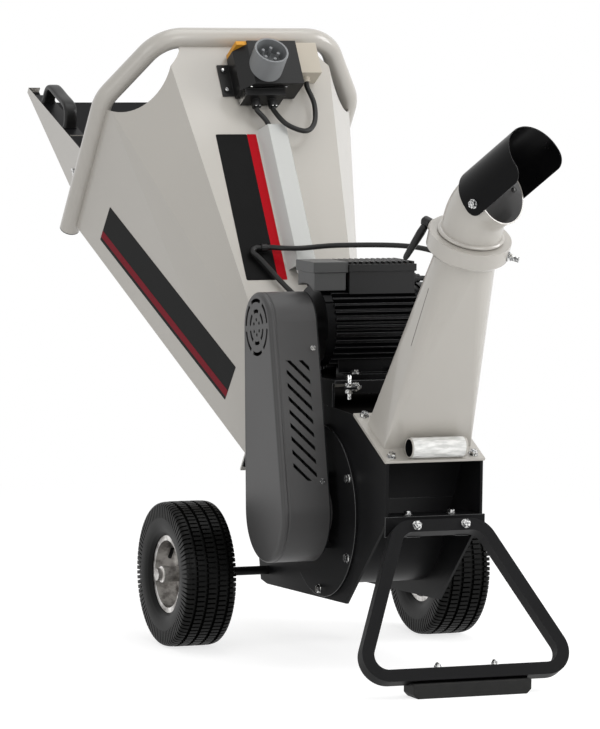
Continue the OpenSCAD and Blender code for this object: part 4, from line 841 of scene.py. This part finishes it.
duct_lead = lead("duct_lead", [
    on_panel(-20, gland_top - 0.3, 28), on_panel(-20, gland_foot - 1, 28), on_panel(-20, gland_foot - 10, 28),
    on_panel(-1, duct_v + 14, 22), on_panel(12, duct_v - 16, 16),
])
lead("side_box_lead", [
    on_panel(22, gland_top - 0.3, 28), on_panel(22, gland_foot - 1, 28), on_panel(22, gland_foot - 10, 28),
    on_panel(40, gland_foot - 54, 42), on_panel(84, gland_foot - 72, 42), on_panel(116, gland_foot - 44, 32),
    on_panel(130, gland_foot + 10, 24), on_panel(122, switch_v - 40, 24), on_panel(122, switch_v - 28, 24),
    on_panel(122, switch_v - 20.3, 24),
])
lead("motor_lead", [
    on_panel(20, duct_end + 30, 13), on_panel(20, duct_end + 4, 13), on_panel(20, duct_end - 40, 14),
    on_panel(-2, duct_end - 66, 14), on_panel(-34, duct_end - 36, 13), on_panel(-84, clip_v - 32, 12),
    on_panel(-101, clip_v - 11, 12), on_panel(-93, clip_v, 12), on_panel(-80, clip_v, 12),
    on_panel(-64, clip_v, 12), on_panel(-54, clip_v, 14), on_panel(-30, clip_v - 12, 32),
    on_panel(8, clip_v - 20, 46),
    Vector((0.09, 0.01484, motor_gland.z + 0.05)), Vector((0.205, -0.10516, motor_gland.z + 0.054)),
    Vector((0.246, -0.22516, motor_gland.z + 0.038)),
    Vector((0.222, motor_gland.y - 0.008, motor_gland.z + 0.008)),
    motor_gland + Vector((0.041, 0, 0)), motor_gland + Vector((0.015, 0, 0)), motor_gland,
])
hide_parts("cables")

# Small screws: round heads in zinc plate hold the switch box, its gland strip and the gland nuts. A bare
# metal plate closes the end of the gland strip.
off_panel = (on_panel(0, 0, 1) - on_panel(0, 0, 0)).normalized()
down_panel = (on_panel(0, 0, 0) - on_panel(0, 1, 0)).normalized()
up_panel = (on_panel(0, 1000, 0) - on_panel(0, 0, 0)).normalized()
dome = [(5.6, 0), (5.4, 1.2), (4.4, 2.5), (2.6, 3.4), (0.4, 3.7)]
for name, wide, tall, spots in (
    ("switch_screws", 1, 1, [(on_panel(-75, switch_v + v, 7.9), off_panel) for v in (18, -34)]),
    ("strip_screws", 0.52, 0.6, [
        (on_panel(x, switch_v - 57.9, z), down_panel) for x, z in ((-38, 62), (50, 62), (54, 30))]),
    ("nut_screws", 0.36, 0.5, [
        (on_panel(x, switch_v - 93.9, 37), down_panel) for x in (-24.5, -15.5, 17.5, 26.5)]),
):
    turned(name, [(r * wide, h * tall) for r, h in dome], spots, "chassis", zinc)
plate("gland_end_plate", on_panel(-51.2, switch_v - 76, 4), off_panel, up_panel, (0.05, 0.02), zinc,
      radius=0.001)


# Plain strips on the hopper: cut vinyl film, black with a red band, rounded at the corners and stuck
# on. One lies on the top panel, and one on the left side.
def vinyl(dark, light):
    return lambda f: {
        "Base Color": f.cloud(10, 3).shade(srgb(*dark), srgb(*light)),
        "Roughness": f.cloud(30, 3) * 0.1 + 0.3,
        "Specular IOR Level": 0.08,
        "Normal": f.cloud(60, 2).bump(0.0002, 0.1),
    }


side_slope = (mouth_half - inlet_half) / hopper_len
film_gap = 0.15


def on_side(s, n):
    """A point just off the hopper's left side."""
    return in_hopper(-inlet_half - film_gap - side_slope * n, s, n)


black_vinyl = finish("black_vinyl", vinyl((10, 10, 10), (16, 16, 16)))
panel_strip_len, panel_strip_foot = 0.385, 276
plate("panel_black_strip", on_panel(-47, panel_strip_foot, 0.1), up_panel, -rightward,
      (panel_strip_len, 0.079), black_vinyl)
plate("panel_red_band", on_panel(-24, panel_strip_foot, 0.1), up_panel, -rightward,
      (panel_strip_len, 0.023), finish("red_vinyl", vinyl((160, 2, 18), (176, 5, 23))), radius=0.002)

side_strip_len, band_off, band_rise = 0.590, 0.074, 0.0002
side_foot, side_top, side_low = on_side(63.4, 150), on_side(40.7, 725), on_side(162, 155)
side_along = (side_top - side_foot).normalized()
side_across = side_low - side_foot
side_across = (side_across - side_along * side_across.dot(side_along)).normalized()
side_out = side_along.cross(side_across).normalized()
plate("side_black_strip", side_foot, side_along, side_across, (side_strip_len, 0.102), black_vinyl,
      radius=0.002)
plate("side_red_band", side_foot + side_across * band_off + side_out * band_rise, side_along, side_across,
      (side_strip_len, 0.019), finish("dark_red_vinyl", vinyl((108, 4, 24), (124, 8, 30))), radius=0.001)
